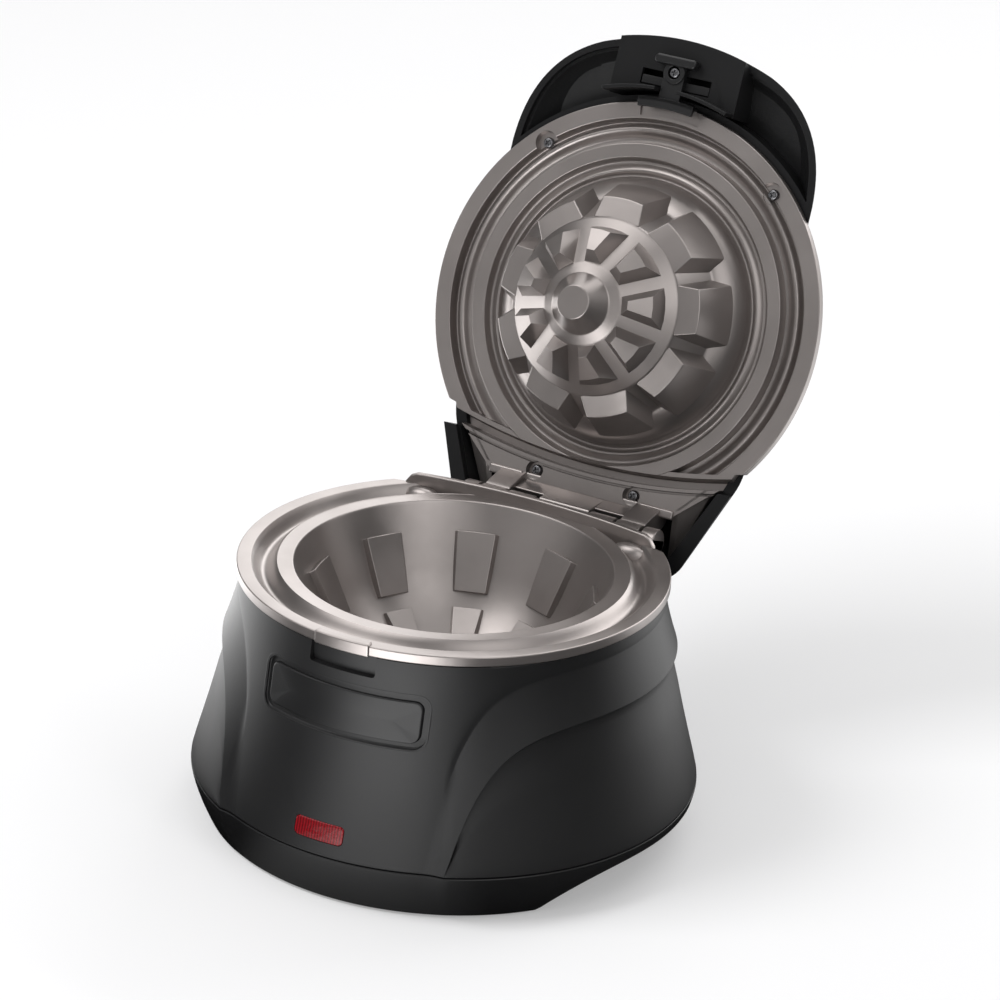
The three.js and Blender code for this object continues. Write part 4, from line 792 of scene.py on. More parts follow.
# Indicator lens: a window of dark red clear plastic, low on the front. The upright prisms on its back are not
# modelled;
# they are painted as bands of darker and lighter red, painted shade and shine. A small glow lamp lies behind it in
# a black holder.
red, nodes, links, shader, place = finish_nodes("dark_red_lens", (0.30, 0.006, 0.012), 0.16)
# Painted shade and shine: stripes of darker and lighter red stand in for light through the prisms, not a colour of
# the plastic.
prism_shine_bands = nodes.new("ShaderNodeTexWave")
prism_shine_bands.inputs["Scale"].default_value = 260
prism_shine_bands.inputs["Distortion"].default_value = 1.5
links.new(place, prism_shine_bands.inputs["Vector"])
two_colours(nodes, links, prism_shine_bands.outputs["Fac"], (0.09, 0.002, 0.004), (0.26, 0.006, 0.011), shader)
bumps(nodes, links, shader, [(noise(nodes, links, place, 420, 2), 0.0001)])
shader.inputs["Specular IOR Level"].default_value = 0.25
LENS_SECTION = ((LENS_TALL, WALL + 1), (0, WALL + 1), (0, 0.2), (0.05, -0.05), (0.25, -0.22), (0.6, -0.3),
                (LENS_TALL, -0.3))
lens = solid("lens", inset_loops(LENS_HALF - SEAT_GAP / 2, LENS_TALL - SEAT_GAP / 2, LENS_CORNER, LENS_DROP,
                                 LENS_SECTION))
settle(lens, "red_window", base_place, "base", red)
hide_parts("indicator_lens")
lamp, nodes, links, shader, place = finish_nodes("warm_lamp_glass", (0.75, 0.42, 0.22), 0.15)
uneven(nodes, links, place, shader, 300, 0.1, 0.25)
dress("neon_lamp", lamp)
dress("lamp_holder", inside_black)

# Cord collar: a rubber grommet through the rear wall, flanged on both faces, with the cord's way open
# through its middle. It is pressed in from outside.
GLAND_RADIUS, GLAND_BORE, GLAND_FLANGE = 8.0, 3.4, 2.0
gland_end = SEAM_RADIUS + GLAND_FLANGE
gland_wall = float(flank_radius(-GLAND_DROP))
gland_back = gland_wall - WALL - 2 * GLAND_FLANGE
neck_start, neck_end = gland_wall - WALL - SEAT_GAP, gland_wall + SEAT_GAP
gland_profile = eased([
    (GLAND_BORE, gland_back), (GLAND_RADIUS, gland_back), (GLAND_RADIUS, neck_start),
    (GLAND_NECK, neck_start), (GLAND_NECK, neck_end), (GLAND_RADIUS, neck_end),
    (GLAND_RADIUS - 0.4, gland_end), (GLAND_BORE, gland_end),
], 0.7, True)


def gland_place(points):
    points = np.asarray(points)
    return base_place(np.stack([points[:, 0], points[:, 2], -points[:, 1] - GLAND_DROP], axis=1))


collar = settle(turned("collar", gland_profile, 64, ends="tied"), "cord_collar", gland_place, "base",
                rubber)
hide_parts("cord_gland")

# Heating and control parts under the bowl: a dull tubular ring, a bare aluminium pan, a ceramic
# thermostat, a thermal fuse and the terminal block. They are sealed in and keep their plain shapes.
ring_steel, nodes, links, shader, place = finish_nodes("heater_sheath", (0.30, 0.29, 0.28), 0.45, 0.9)
two_colours(nodes, links, spread(nodes, links, noise(nodes, links, place, 90), 0, 1), (0.34, 0.33, 0.31),
            (0.22, 0.20, 0.19), shader)
pan_sheet, nodes, links, shader, place = finish_nodes("bare_sheet", (0.66, 0.66, 0.67), 0.35, 1.0)
uneven(nodes, links, place, shader, 50, 0.28, 0.45)
ceramic, nodes, links, shader, place = finish_nodes("fired_ceramic", (0.72, 0.68, 0.6), 0.7)
bumps(nodes, links, shader, [(noise(nodes, links, place, 1200), 0.00003)])
resin, nodes, links, shader, place = finish_nodes("brown_resin", (0.09, 0.05, 0.03), 0.5)
bumps(nodes, links, shader, [(noise(nodes, links, place, 1400), 0.00002)])
for node, material in (("lower_heating_ring", ring_steel), ("lower_heat_shield", pan_sheet),
                       ("thermostat", ceramic), ("thermal_fuse", pan_sheet), ("terminal_block", resin)):
    dress(node, material)

# Lower plate: one coated aluminium casting. A bowl with two rows of nine pads, a raised ring, a moat
# and a flat rim, cut off at the rear by an upright wall that carries the fixed half of the hinge.
RIM_RADIUS, RIM_BAND, MOAT_WIDTH, MOAT_DEPTH = 86.5, 5.9, 10.3, 5.0
CAVITY_RADIUS, CAVITY_DEPTH, CAVITY_FLOOR = 63.5, 60.0, 14.0
CAST_WALL, RING_DROP, SKIRT_DEPTH = 3.2, 0.5, 14.0
CHORD_HALF, CHORD_RISE, ARCH_RISE = 58.0, 4.2, 3.2
BARREL_SIDES = 56
PAD_COUNT, PAD_RISE = 9, 3.0
TAB_HALF, TAB_REACH, TAB_RISE = 12.2, 0.7, 0.8
RUN_GAP = 0.4
CAVITY_SHARES = ((0.42, 0.92), (0.74, 0.6), (0.95, 0.13))
CAVITY_PAD_SHARES = {"outer": ((0.93, 0.2), (0.76, 0.57)), "inner": ((0.7, 0.66), (0.45, 0.88))}
NOSE_PROFILE = ((0, 0.0), (2.4, -0.25), (4.2, -1.3), (5.2, -3.4), (5.4, -MOAT_DEPTH - 1),
                (0, -MOAT_DEPTH - 1))
NOSE_INSET, NOSE_AHEAD, NOSE_STRETCH = 9.5, 3.4, (1.5, 0.9, 1, 1)
moat_inner = RIM_RADIUS - RIM_BAND - MOAT_WIDTH
skirt_outer = NECK_RADIUS - WALL - RUN_GAP


def cast_coating(name, light, dark):
    """Warm grey coating over cast metal: satin, a little uneven, with a faint orange peel."""
    material, nodes, links, shader, place = finish_nodes(name, light, 0.34, 0.85)
    cloud = noise(nodes, links, place, 26, 4)
    peel = noise(nodes, links, place, 700, 2)
    two_colours(nodes, links, spread(nodes, links, cloud, 0, 1), light, dark, shader)
    uneven(nodes, links, place, shader, 45, 0.28, 0.38)
    bumps(nodes, links, shader, [(cloud, 0.00025), (peel, 0.000012)])
    return material


coating = cast_coating("plate_coating", (0.335, 0.305, 0.295), (0.285, 0.26, 0.25))


def hollow_curve(centre, half, level, depth, steps=12):
    """A groove's cross-section with soft edges and a round floor."""
    points = []
    for step in range(steps + 1):
        across = -1 + 2 * step / steps
        deep = (0.5 + 0.5 * math.cos(math.pi * across)) ** 0.7
        points.append((centre + across * half, level - deep * depth))
    return points


def hull_block(name, corners, edge):
    """The block that its corners span, with its edges softened."""
    shape = bmesh.new()
    for corner in corners:
        shape.verts.new(corner)
    bmesh.ops.convex_hull(shape, input=shape.verts)
    spare = [vertex for vertex in shape.verts if not vertex.link_faces]
    bmesh.ops.delete(shape, geom=spare, context="VERTS")
    bmesh.ops.dissolve_limit(shape, angle_limit=math.radians(3), verts=shape.verts, edges=shape.edges)
    mesh = bpy.data.meshes.new(name)
    shape.to_mesh(mesh)
    shape.free()
    made = bpy.data.objects.new(name, mesh)
    bpy.context.scene.collection.objects.link(made)
    return soften(made, edge, 3, 12)


def node_tree(name, inputs):
    """An empty node tree that gives a geometry, and its named inputs."""
    tree = bpy.data.node_groups.new(name, "GeometryNodeTree")
    tree.interface.new_socket("Geometry", in_out="OUTPUT", socket_type="NodeSocketGeometry")
    sockets = {}
    for label, kind in inputs.items():
        sockets[label] = tree.interface.new_socket(label, in_out="INPUT", socket_type="NodeSocket" + kind)
    return tree, sockets


def copies_at(tree, given, points, source_name, turn):
    """The rest of a tree: copies of an object at the points, each turned, made real and given its finish."""
    source = tree.nodes.new("GeometryNodeObjectInfo")
    copies = tree.nodes.new("GeometryNodeInstanceOnPoints")
    about = tree.nodes.new("ShaderNodeCombineXYZ")
    real = tree.nodes.new("GeometryNodeRealizeInstances")
    paint = tree.nodes.new("GeometryNodeSetMaterial")
    made = tree.nodes.new("NodeGroupOutput")
    for start, end in (
            (given.outputs[source_name], source.inputs["Object"]), (points, copies.inputs["Points"]),
            (source.outputs["Geometry"], copies.inputs["Instance"]), (turn, about.inputs["Z"]),
            (about.outputs[0], copies.inputs["Rotation"]), (copies.outputs[0], real.inputs[0]),
            (real.outputs[0], paint.inputs["Geometry"]), (given.outputs["Finish"], paint.inputs["Material"]),
            (paint.outputs["Geometry"], made.inputs["Geometry"])):
        tree.links.new(start, end)


def grown(name, seats, tree, sockets, values):
    """What the tree makes, kept as one plain mesh."""
    holder = bpy.data.objects.new(name, bpy.data.meshes.new(name))
    holder.data.from_pydata(seats, [], [])
    bpy.context.scene.collection.objects.link(holder)
    step = holder.modifiers.new("grown", "NODES")
    step.node_group = tree
    for label, value in values.items():
        step[sockets[label].identifier] = value
    return flatten(holder)


def ring_of(name, prototype, count):
    """Copies of one block, evenly round the axis."""
    tree, sockets = node_tree("blocks_round_axis", {"Block": "Object", "Count": "Int", "Finish": "Material"})
    given = tree.nodes.new("NodeGroupInput")
    spots = tree.nodes.new("GeometryNodePoints")
    number = tree.nodes.new("GeometryNodeInputIndex")
    pitch = tree.nodes.new("ShaderNodeMath")
    pitch.operation = "DIVIDE"
    pitch.inputs[0].default_value = 2 * math.pi
    turn = tree.nodes.new("ShaderNodeMath")
    turn.operation = "MULTIPLY"
    many = given.outputs["Count"]
    for start, end in ((many, spots.inputs["Count"]), (many, pitch.inputs[1]),
                       (number.outputs["Index"], turn.inputs[0]), (pitch.outputs[0], turn.inputs[1])):
        tree.links.new(start, end)
    copies_at(tree, given, spots.outputs["Points"], "Block", turn.outputs[0])
    made = grown(name, [], tree, sockets, {"Block": prototype, "Count": count, "Finish": coating})
    drop(prototype)
    return made


def barrel(name, radius, left, right):
    """A round bar on the hinge's axis."""
    ring = []
    for angle in np.arange(BARREL_SIDES) * 2 * math.pi / BARREL_SIDES:
        ring.append((HINGE_BACK + radius * math.cos(angle), -HINGE_DROP + radius * math.sin(angle)))
    return side_plank(name, ring, left, right)


def knuckle(left, right):
    return soften(barrel("knuckle", KNUCKLE_RADIUS, left, right), 0.7, 2, 40)


def both_sides(left, right):
    return ((left, right), (-right, -left))


def cavity_pads():
    half = math.pi / PAD_COUNT / 2
    rings = []
    for row, shares in CAVITY_PAD_SHARES.items():
        corners = []
        for across, deep in shares:
            r, z = CAVITY_RADIUS * across, -CAVITY_DEPTH * deep
            for step in (-1, -0.5, 0, 0.5, 1):
                corners.append(polar(r - PAD_RISE * 0.85, step * half * 0.8, z + PAD_RISE * 0.5))
                corners.append(polar(r + CAST_WALL / 2, step * half, z - CAST_WALL / 3))
        rings.append(ring_of(row, hull_block("pad", corners, 0.8), PAD_COUNT))
    pads = join(rings)
    pads.data.transform(Matrix.Rotation(-math.pi / 2, 4, "Z"))
    return pads


def arched(x):
    """How far back the chord's slight arch stands at x."""
    return ARCH_RISE * (1 - 2 * (x / CHORD_HALF) ** 2)


def arched_bar(name, section, half, steps=48):
    """A bar across the plate whose cross-section follows the arch."""
    stations = np.linspace(-half, half, steps + 1)
    return solid(name, [[(x, y + arched(x), z) for y, z in section] for x in stations])


def lower_bowl():
    """The turned casting: bowl, raised lip, moat, rim and skirt, cut off along the arch at the rear."""
    skirt_inner = skirt_outer - CAST_WALL
    skirt_bottom = -RIM_THICK - SKIRT_DEPTH
    moat_under = -MOAT_DEPTH - CAST_WALL
    low, middle, high = [(CAVITY_RADIUS * across, -CAVITY_DEPTH * deep) for across, deep in CAVITY_SHARES]
    lip_start = (CAVITY_RADIUS - 0.2, -RING_DROP - 1.0)
    floor = [(0, -CAVITY_DEPTH), (CAVITY_FLOOR, -CAVITY_DEPTH)]
    bowl = eased([*floor, low, middle, high, lip_start], 12, steps=6)
    lip = eased([lip_start, (CAVITY_RADIUS + 0.4, -RING_DROP), (moat_inner - 0.3, -RING_DROP)], 0.5)
    moat_half = MOAT_WIDTH / 2
    moat = hollow_curve(moat_inner + moat_half, moat_half, -RING_DROP / 2, MOAT_DEPTH - RING_DROP / 2)
    rim = eased([(RIM_RADIUS - RIM_BAND + 0.3, 0), (RIM_RADIUS, 0), (RIM_RADIUS, -RIM_THICK),
                 (skirt_outer, -RIM_THICK)], 0.6)
    under = [(skirt_outer, skirt_bottom), (skirt_inner, skirt_bottom), (skirt_inner, moat_under),
             (CAVITY_RADIUS + CAST_WALL, moat_under), (high[0] + CAST_WALL, moat_under - CAST_WALL),
             (middle[0] + CAST_WALL, middle[1] - CAST_WALL * 0.75),
             (low[0] + CAST_WALL * 0.7, low[1] - CAST_WALL),
             (CAVITY_FLOOR, -CAVITY_DEPTH - CAST_WALL), (0, -CAVITY_DEPTH - CAST_WALL)]
    made = turned("bowl", [*bowl, *lip, *moat, *rim, *under])
    behind = arched_bar("behind", [(CHORD_BACK + 0.5, -2 * BEYOND), (4 * RIM_RADIUS, -2 * BEYOND),
                                   (4 * RIM_RADIUS, BEYOND), (CHORD_BACK + 0.5, BEYOND)], 1.2 * RIM_RADIUS)
    return carve(made, [behind])


def chord_wall():
    """The arched rear wall, falling off at both ends, the panel under it and two noses in its corners."""
    wall_back = CHORD_BACK + CHORD_WALL
    section = [(CHORD_BACK, -RIM_THICK), (wall_back, -RIM_THICK), (wall_back, CHORD_RISE),
               (CHORD_BACK, CHORD_RISE)]
    wall = arched_bar("fence", section, CHORD_HALF)
    for vertex in wall.data.vertices:
        over = abs(vertex.co.x) - CHORD_HALF + CAST_WALL
        if vertex.co.z > 0 and over > 0:
            vertex.co.z -= CHORD_RISE * over / CAST_WALL
    parts = [soften(wall, 0.7, 3)]
    reach = math.sqrt(skirt_outer**2 - wall_back**2)
    low = [(y, LEDGE_BOTTOM if z < 0 else -RIM_THICK / 2) for y, z in section]
    parts.append(soften(arched_bar("panel", low, reach), 0.4))
    for side in (-1, 1):
        x = side * (CHORD_HALF - NOSE_INSET)
        y = CHORD_BACK - NOSE_AHEAD + arched(x)
        nose = turned("nose", NOSE_PROFILE, 40)
        nose.data.transform(Matrix.Translation((x, y, 0)) @ Matrix.Diagonal(NOSE_STRETCH))
        parts.append(nose)
    return parts


def fixed_hinge():
    """The shelf behind the wall, with room for the lid's knuckles, and the fixed knuckles on their feet."""
    shelf_front, shelf_back = CHORD_BACK + 1, HINGE_BACK - KNUCKLE_RADIUS / 2
    shelf_outline = eased([(-EAR_END, shelf_front), (EAR_END, shelf_front), (EAR_END, shelf_back),
                           (-EAR_END, shelf_back)], 1, True)
    shelf = plank("shelf", shelf_outline, LEDGE_BOTTOM, LEDGE_TOP)
    swing = [barrel("swing", KNUCKLE_RADIUS + KNUCKLE_GAP, left, right)
             for left, right in both_sides(LID_KNUCKLE_START - KNUCKLE_GAP,
                                           LID_KNUCKLE_START + LID_KNUCKLE_WIDTH + KNUCKLE_GAP)]
    parts = [carve(soften(shelf, 0.4), swing)]
    wall_back = CHORD_BACK + CHORD_WALL
    foot = [(wall_back, LEDGE_BOTTOM), (HINGE_BACK + KNUCKLE_RADIUS * 0.6, LEDGE_BOTTOM),
            (HINGE_BACK + KNUCKLE_RADIUS, -HINGE_DROP),
            (HINGE_BACK - KNUCKLE_RADIUS * 0.7, -HINGE_DROP + KNUCKLE_RADIUS * 0.7), (wall_back, LEDGE_TOP)]
    for start, width in ((INNER_KNUCKLE_START, INNER_KNUCKLE_WIDTH), (EAR_START, EAR_WIDTH)):
        for left, right in both_sides(start, start + width):
            parts.append(soften(side_plank("foot", foot, left, right), 0.6))
            parts.append(knuckle(left, right))
    return parts


tab = arc_bar("tab", RIM_RADIUS - CAST_WALL, RIM_RADIUS + TAB_REACH, -RIM_THICK - TAB_RISE / 2, TAB_RISE,
              TAB_HALF, 0.7)
lower_casting = join([lower_bowl(), cavity_pads(), *chord_wall(), *fixed_hinge(), tab])
settle(lower_casting, "lower_casting", base_place, "base", coating, 40)
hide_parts("lower_plate")

# Hinge pins and the screws of the base: plated steel, the pins pressed through the knuckles and the
# screws driven up through the bottom cover and the plate's lugs.
plated, nodes, links, shader, place = finish_nodes("plated_steel", (0.36, 0.36, 0.37), 0.28, 1.0)
uneven(nodes, links, place, shader, 500, 0.22, 0.42)
for node in frame["record"]["behaviour"]["bodies"]["base"]:
    if "screw" in node or "hinge_pin" in node:
        dress(node, plated)

# Upper plate: the second coated casting. A dome with a flat-topped hub and two rows of nine blocks, two
# ring grooves with a soft bead in each, and a flange with the lid's half of the hinge.
UPPER_RIM = 87.6
FACE = SEAT_GAP
BATTER_GAP, BATTER_FLOOR_GAP = 8.0, 10.5
GROOVE_DEPTH = 3.5
FLANGE_FRONT, FLANGE_END, FLANGE_THICK = 57.0, 78.0, 8.2
FLANGE_CORNER_HALF, FLANGE_END_HALF = 66.0, 42.5
WELL_DEPTH, WELL_RADIUS = 2.9, 4.0
FRONT_SCREW_ANGLE, HINGE_SCREW_SIDE, HINGE_SCREW_BACK = 40.8, 22.9, 73.2
CHEEK_THICK, CHEEK_HEIGHT, CHEEK_END, CHEEK_END_HALF = 3.0, 8.5, 95.0, 44.5
COVER_RADIUS, COVER_WALL = 84.5, 2.5
DOME_RADIUS = CAVITY_RADIUS - BATTER_GAP
HUB_DEPTH = CAVITY_DEPTH - BATTER_FLOOR_GAP
DOME_SHARES = ((0.126, 1), (0.23, 0.848), (0.307, 0.814), (0.591, 0.608), (0.667, 0.547), (0.823, 0.21),
               (0.942, 0.143))
OUTER_BLOCK_SHARES = ((0.667, 0.547, 0.81), (0.822, 0.505, 0.575), (0.667, 0.51, 0.81), (0.823, 0.19, 0.92),
                      (0.945, 0.13, 0.68))
INNER_BLOCK_SHARES = ((0.403, 0.904, 0.22), (0.562, 0.794, 0.41), (0.307, 0.79, 0.68), (0.591, 0.58, 0.82))
OUTER_GROOVE_SHARES = ((0.05, 0.6), (0.11, 0.95), (0.18, 0.95), (0.28, 0.6), (0.38, 0.42), (0.5, 0.5),
                       (0.66, 0.85), (0.8, 1.0), (0.93, 0.95))
INNER_GROOVE_SHARES = ((0.06, 0.6), (0.14, 0.95), (0.26, 0.98), (0.42, 0.62), (0.54, 0.42), (0.63, 0.45),
                       (0.74, 0.9), (0.84, 0.95), (0.93, 0.6))
GROOVE_END, SLOT_FRONT, SLOT_FLOOR, RAIL_BACK, PANEL_FRONT = 59.0, 60.9, 6.8, 67.1, 68.3
FRONT_WELL_RADIUS, PAD_LEFT, PAD_RIGHT, PAD_PROUD = 5.0, 27.5, 43.5, 1.0


def lid_place(points):
    """From the closed lid's drawing to its open place in the frame."""
    points = np.asarray(points)
    back, above = points[:, 1] - HINGE_BACK, points[:, 2] + HINGE_DROP
    opened = np.stack([points[:, 0],
                       HINGE_BACK + back * math.cos(OPEN_ANGLE) + above * math.sin(OPEN_ANGLE),
                       -HINGE_DROP - back * math.sin(OPEN_ANGLE) + above * math.cos(OPEN_ANGLE)], axis=1)
    return base_place(opened)


def beaded_groove(outer, inner, level, depth, shares):
    """A ring groove from its outer edge inwards: a floor, a soft bead and a second floor."""
    points = [(outer, level)]
    for across, deep in shares:
        points.append((outer + (inner - outer) * across, level + depth * deep))
    points.append((inner, level))
    return points


def dome_block(name, shares, steps, edge):
    """A block on the dome. Each share is how far out, how deep and how wide its corners stand."""
    corners = []
    half_pitch = math.pi / PAD_COUNT
    for across, deep, wide in shares:
        for step in range(steps + 1):
            angle = (2 * step / steps - 1) * wide * half_pitch
            corners.append(polar(DOME_RADIUS * across, angle, -HUB_DEPTH * deep))
    return hull_block(name, corners, edge)


def screw_wells():
    spots = [bearing(RIM_RADIUS - RIM_BAND, FRONT_SCREW_ANGLE, side) for side in (-1, 1)]
    return spots + [(-HINGE_SCREW_SIDE, HINGE_SCREW_BACK), (HINGE_SCREW_SIDE, HINGE_SCREW_BACK)]


def well_tools(spots, radius):
    floor = FACE + WELL_DEPTH
    profile = [(0, -BEYOND), (radius, -BEYOND), (radius, FACE + 0.3), (radius - 0.5, floor), (0, floor)]
    return [turned("well", profile, 48, spot) for spot in spots]


def flange_slots():
    """Tools for the slot the lower plate's wall swings into and for the shallow groove behind it."""
    wall_back = CHORD_BACK + CHORD_WALL + 0.3
    slot = [(SLOT_FRONT, -BEYOND), (SLOT_FRONT, FACE + 0.2), (CHORD_BACK - 0.6, SLOT_FLOOR - 0.4),
            (CHORD_BACK - 0.1, SLOT_FLOOR), (wall_back - 0.3, SLOT_FLOOR), (wall_back, FACE + 0.3),
            (wall_back, -BEYOND)]
    groove = [(RAIL_BACK, -BEYOND), (RAIL_BACK, FACE + 1.6), (RAIL_BACK + 0.3, FACE + 2.0),
              (PANEL_FRONT - 0.2, FACE + 2.0), (PANEL_FRONT, FACE + 0.2), (PANEL_FRONT, -BEYOND)]
    return [arched_bar("slot", section, RIM_RADIUS, 72) for section in (slot, groove)]


def arched_front(back):
    """Everything in front of the arched line."""
    away = -4 * RIM_RADIUS
    section = [(away, -2 * BEYOND), (back, -2 * BEYOND), (back, BEYOND), (away, BEYOND)]
    return arched_bar("front", section, 1.2 * RIM_RADIUS, 72)


def curve_to(start, control, end, steps):
    """Points on a smooth bend from the start, which is left out, to the end."""
    start, control, end = (np.asarray(point, float) for point in (start, control, end))
    return [tuple((1 - t) ** 2 * start + 2 * t * (1 - t) * control + t * t * end)
            for t in np.linspace(0, 1, steps + 1)[1:]]


def upper_dome():
    """The turned casting, from the hub over the shoulder and both grooves to the rim and along the back."""
    dome = [(0, -HUB_DEPTH)] + [(DOME_RADIUS * a, -HUB_DEPTH * d) for a, d in DOME_SHARES]
    groove_edge = CAVITY_RADIUS + CAST_WALL / 4
    inner_groove = beaded_groove(groove_edge, DOME_RADIUS - 0.3, FACE, GROOVE_DEPTH, INNER_GROOVE_SHARES)
    outer_groove = beaded_groove(RIM_RADIUS - RIM_BAND, moat_inner, FACE, MOAT_DEPTH, OUTER_GROOVE_SHARES)
    inner_groove, outer_groove = inner_groove[::-1], outer_groove[::-1]
    hub = eased(dome[:5], 0.5)
    shoulder = [dome[6], (dome[6][0] + 2.0, dome[6][1] + 0.9)]
    bend, top = (DOME_RADIUS - 1.2, dome[7][1] + 1.4), (DOME_RADIUS + 0.2, FACE + 0.4)
    shoulder += curve_to(shoulder[-1], bend, top, 8)
    rise = [*eased([dome[4], dome[5], *shoulder[:3]], 1.0)[:-1], *shoulder[2:-1]]
    rise += eased([shoulder[-2], shoulder[-1], *inner_groove[1:-1]], 0.9)[1:]
    face = [*hub[:-1], *rise[1:]]
    ridge = eased([inner_groove[-2], inner_groove[-1], outer_groove[0], outer_groove[1]], 0.5)[1:-1]
    floor = eased(outer_groove[1:-1], 1.5)
    rim_back = FACE + RIM_THICK
    band = eased([outer_groove[-2], outer_groove[-1], (UPPER_RIM, FACE), (UPPER_RIM, rim_back),
                  (COVER_RADIUS - COVER_WALL - 2 * SEAT_GAP, rim_back)], 0.5)[1:]
    boss_face = FACE + FLANGE_THICK
    back = [(COVER_RADIUS - COVER_WALL - CAST_WALL / 2, boss_face), (DOME_RADIUS - CAST_WALL / 2, boss_face)]
    for point, inwards in ((-1, 0.5), (-2, 0.5), (-3, 0.6), (3, 0.4)):
        back.append((dome[point][0] - CAST_WALL * inwards, dome[point][1] + CAST_WALL))
    back.append((0, dome[3][1] + CAST_WALL))
    plate = turned("upper_dome", [*face, *ridge, *floor, *band, *back])
    keep = rod("core", moat_inner + 0.2, -3 * BEYOND, 2 * BEYOND)
    carve(keep, [arched_front(SLOT_FRONT)], "INTERSECT")
    carve(keep, [arched_front(GROOVE_END)], "UNION")
    carve(plate, [keep], "INTERSECT")
    relief = arc_bar("relief", RIM_RADIUS - CAST_WALL - KNUCKLE_GAP, UPPER_RIM + KNUCKLE_GAP, -BEYOND,
                     TAB_RISE + 2 * SEAT_GAP, TAB_HALF + 2 * KNUCKLE_GAP, 0)
    return carve(plate, [relief, *well_tools(screw_wells()[:2], FRONT_WELL_RADIUS)])


def upper_flange():
    """The flat flange behind the dome, with the wall's slot, the groove behind it and two screw wells."""
    sides = [(FLANGE_CORNER_HALF, FLANGE_FRONT - 3),
             (FLANGE_CORNER_HALF - CAST_WALL, FLANGE_FRONT + CAST_WALL), (FLANGE_END_HALF, FLANGE_END)]
    outline = [(-x, y) for x, y in sides] + [(x, y) for x, y in sides[::-1]]
    flange = plank("flange", outline, FACE, FACE + FLANGE_THICK)
    core = rod("core", moat_inner, -2 * BEYOND, BEYOND)
    carve(core, [arched_front(SLOT_FRONT)], "INTERSECT")
    carve(flange, [core, arched_front(GROOVE_END), *flange_slots()])
    carve(flange, well_tools(screw_wells()[2:], WELL_RADIUS))
    return soften(flange, 0.35, 3, 40)


def lid_knuckles():
    """The lid's two knuckles on their arms, the webs between them and the low pads beside them."""
    front, back, flange_back = FLANGE_END - CAST_WALL, FLANGE_END + CAST_WALL, FACE + FLANGE_THICK
    near = HINGE_BACK - KNUCKLE_RADIUS
    arm = [(front, flange_back), (front, FACE + 0.3), (near, -HINGE_DROP),
           (HINGE_BACK + KNUCKLE_RADIUS, -HINGE_DROP),
           (HINGE_BACK + KNUCKLE_RADIUS * 0.7, -HINGE_DROP + KNUCKLE_RADIUS * 0.7), (back, flange_back)]
    parts = []
    for left, right in both_sides(LID_KNUCKLE_START, LID_KNUCKLE_START + LID_KNUCKLE_WIDTH):
        parts.append(soften(side_plank("arm", eased(arm, 2.5, True), left, right), 0.7, 3, 40))
        parts.append(knuckle(left, right))
    foot = [(front, flange_back), (front, FACE + 0.4), (FLANGE_END - 0.4, FACE + 0.4)]
    short = [*foot, (near - 1.2, -HINGE_DROP + 4.7), (near + 1.0, -HINGE_DROP + 7.2), (back, flange_back)]
    long = [*foot, (near, -HINGE_DROP), (HINGE_BACK - KNUCKLE_RADIUS / 2, -HINGE_DROP), (back, flange_back)]
    for section, half in ((short, LID_KNUCKLE_START + 0.5), (long, INNER_KNUCKLE_START - KNUCKLE_GAP)):
        parts.append(soften(side_plank("web", eased(section, 1.0, True), -half, half), 0.5, 2, 40))
    for left, right in both_sides(PAD_LEFT, PAD_RIGHT):
        pad = block("pad", (left, front, FACE - PAD_PROUD), (right, FLANGE_END + 0.8, FACE + CAST_WALL))
        parts.append(soften(pad, 0.9, 3))
    return parts


def cheek(side):
    """A side wall of the casting that leans out from the flange's edge and runs past the hinge."""
    foot = ((FLANGE_CORNER_HALF - 2 * CAST_WALL, FLANGE_FRONT + CAST_WALL),
            (FLANGE_END_HALF + CAST_WALL, FLANGE_END - CAST_WALL))
    crown = ((FLANGE_CORNER_HALF - 3 * CAST_WALL, FLANGE_FRONT + 2 * CAST_WALL),
             (CHEEK_END_HALF, CHEEK_END))
    corners = []
    for line, z in ((foot, FACE), (crown, CHEEK_HEIGHT)):
        for x, y in line:
            corners += [(side * x, y, z), (side * (x - CHEEK_THICK), y, z)]
    return hull_block("cheek", corners, 0.6)


def dome_blocks():
    blocks = join([ring_of("outer_blocks", dome_block("block", OUTER_BLOCK_SHARES, 6, 0.6), PAD_COUNT),
                   ring_of("inner_blocks", dome_block("block", INNER_BLOCK_SHARES, 4, 0.55), PAD_COUNT)])
    blocks.data.transform(Matrix.Rotation(-math.pi / 2, 4, "Z"))
    return blocks


cheeks = [carve(cheek(side), flange_slots()) for side in (-1, 1)]
upper_casting = join([upper_dome(), upper_flange(), *lid_knuckles(), *cheeks, dome_blocks()])
settle(upper_casting, "upper_casting", lid_place, "lid", coating, 40)
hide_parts("upper_plate")
dress("upper_heating_ring", ring_steel)
dress("upper_heat_shield", pan_sheet)

# Screws that show: small plated pan heads with a cross, set in the wells of the upper plate and in the
# boss of the latch. Each is turned by its own amount, as a screwdriver left it.
HEAD_RADIUS, HEAD_HEIGHT, HEAD_ROUND = 2.4, 1.8, 0.35
CROSS_WIDTH, CROSS_DEPTH, CROSS_REACH, CROSS_TAPER = 0.75, 1.1, 0.62, 0.55


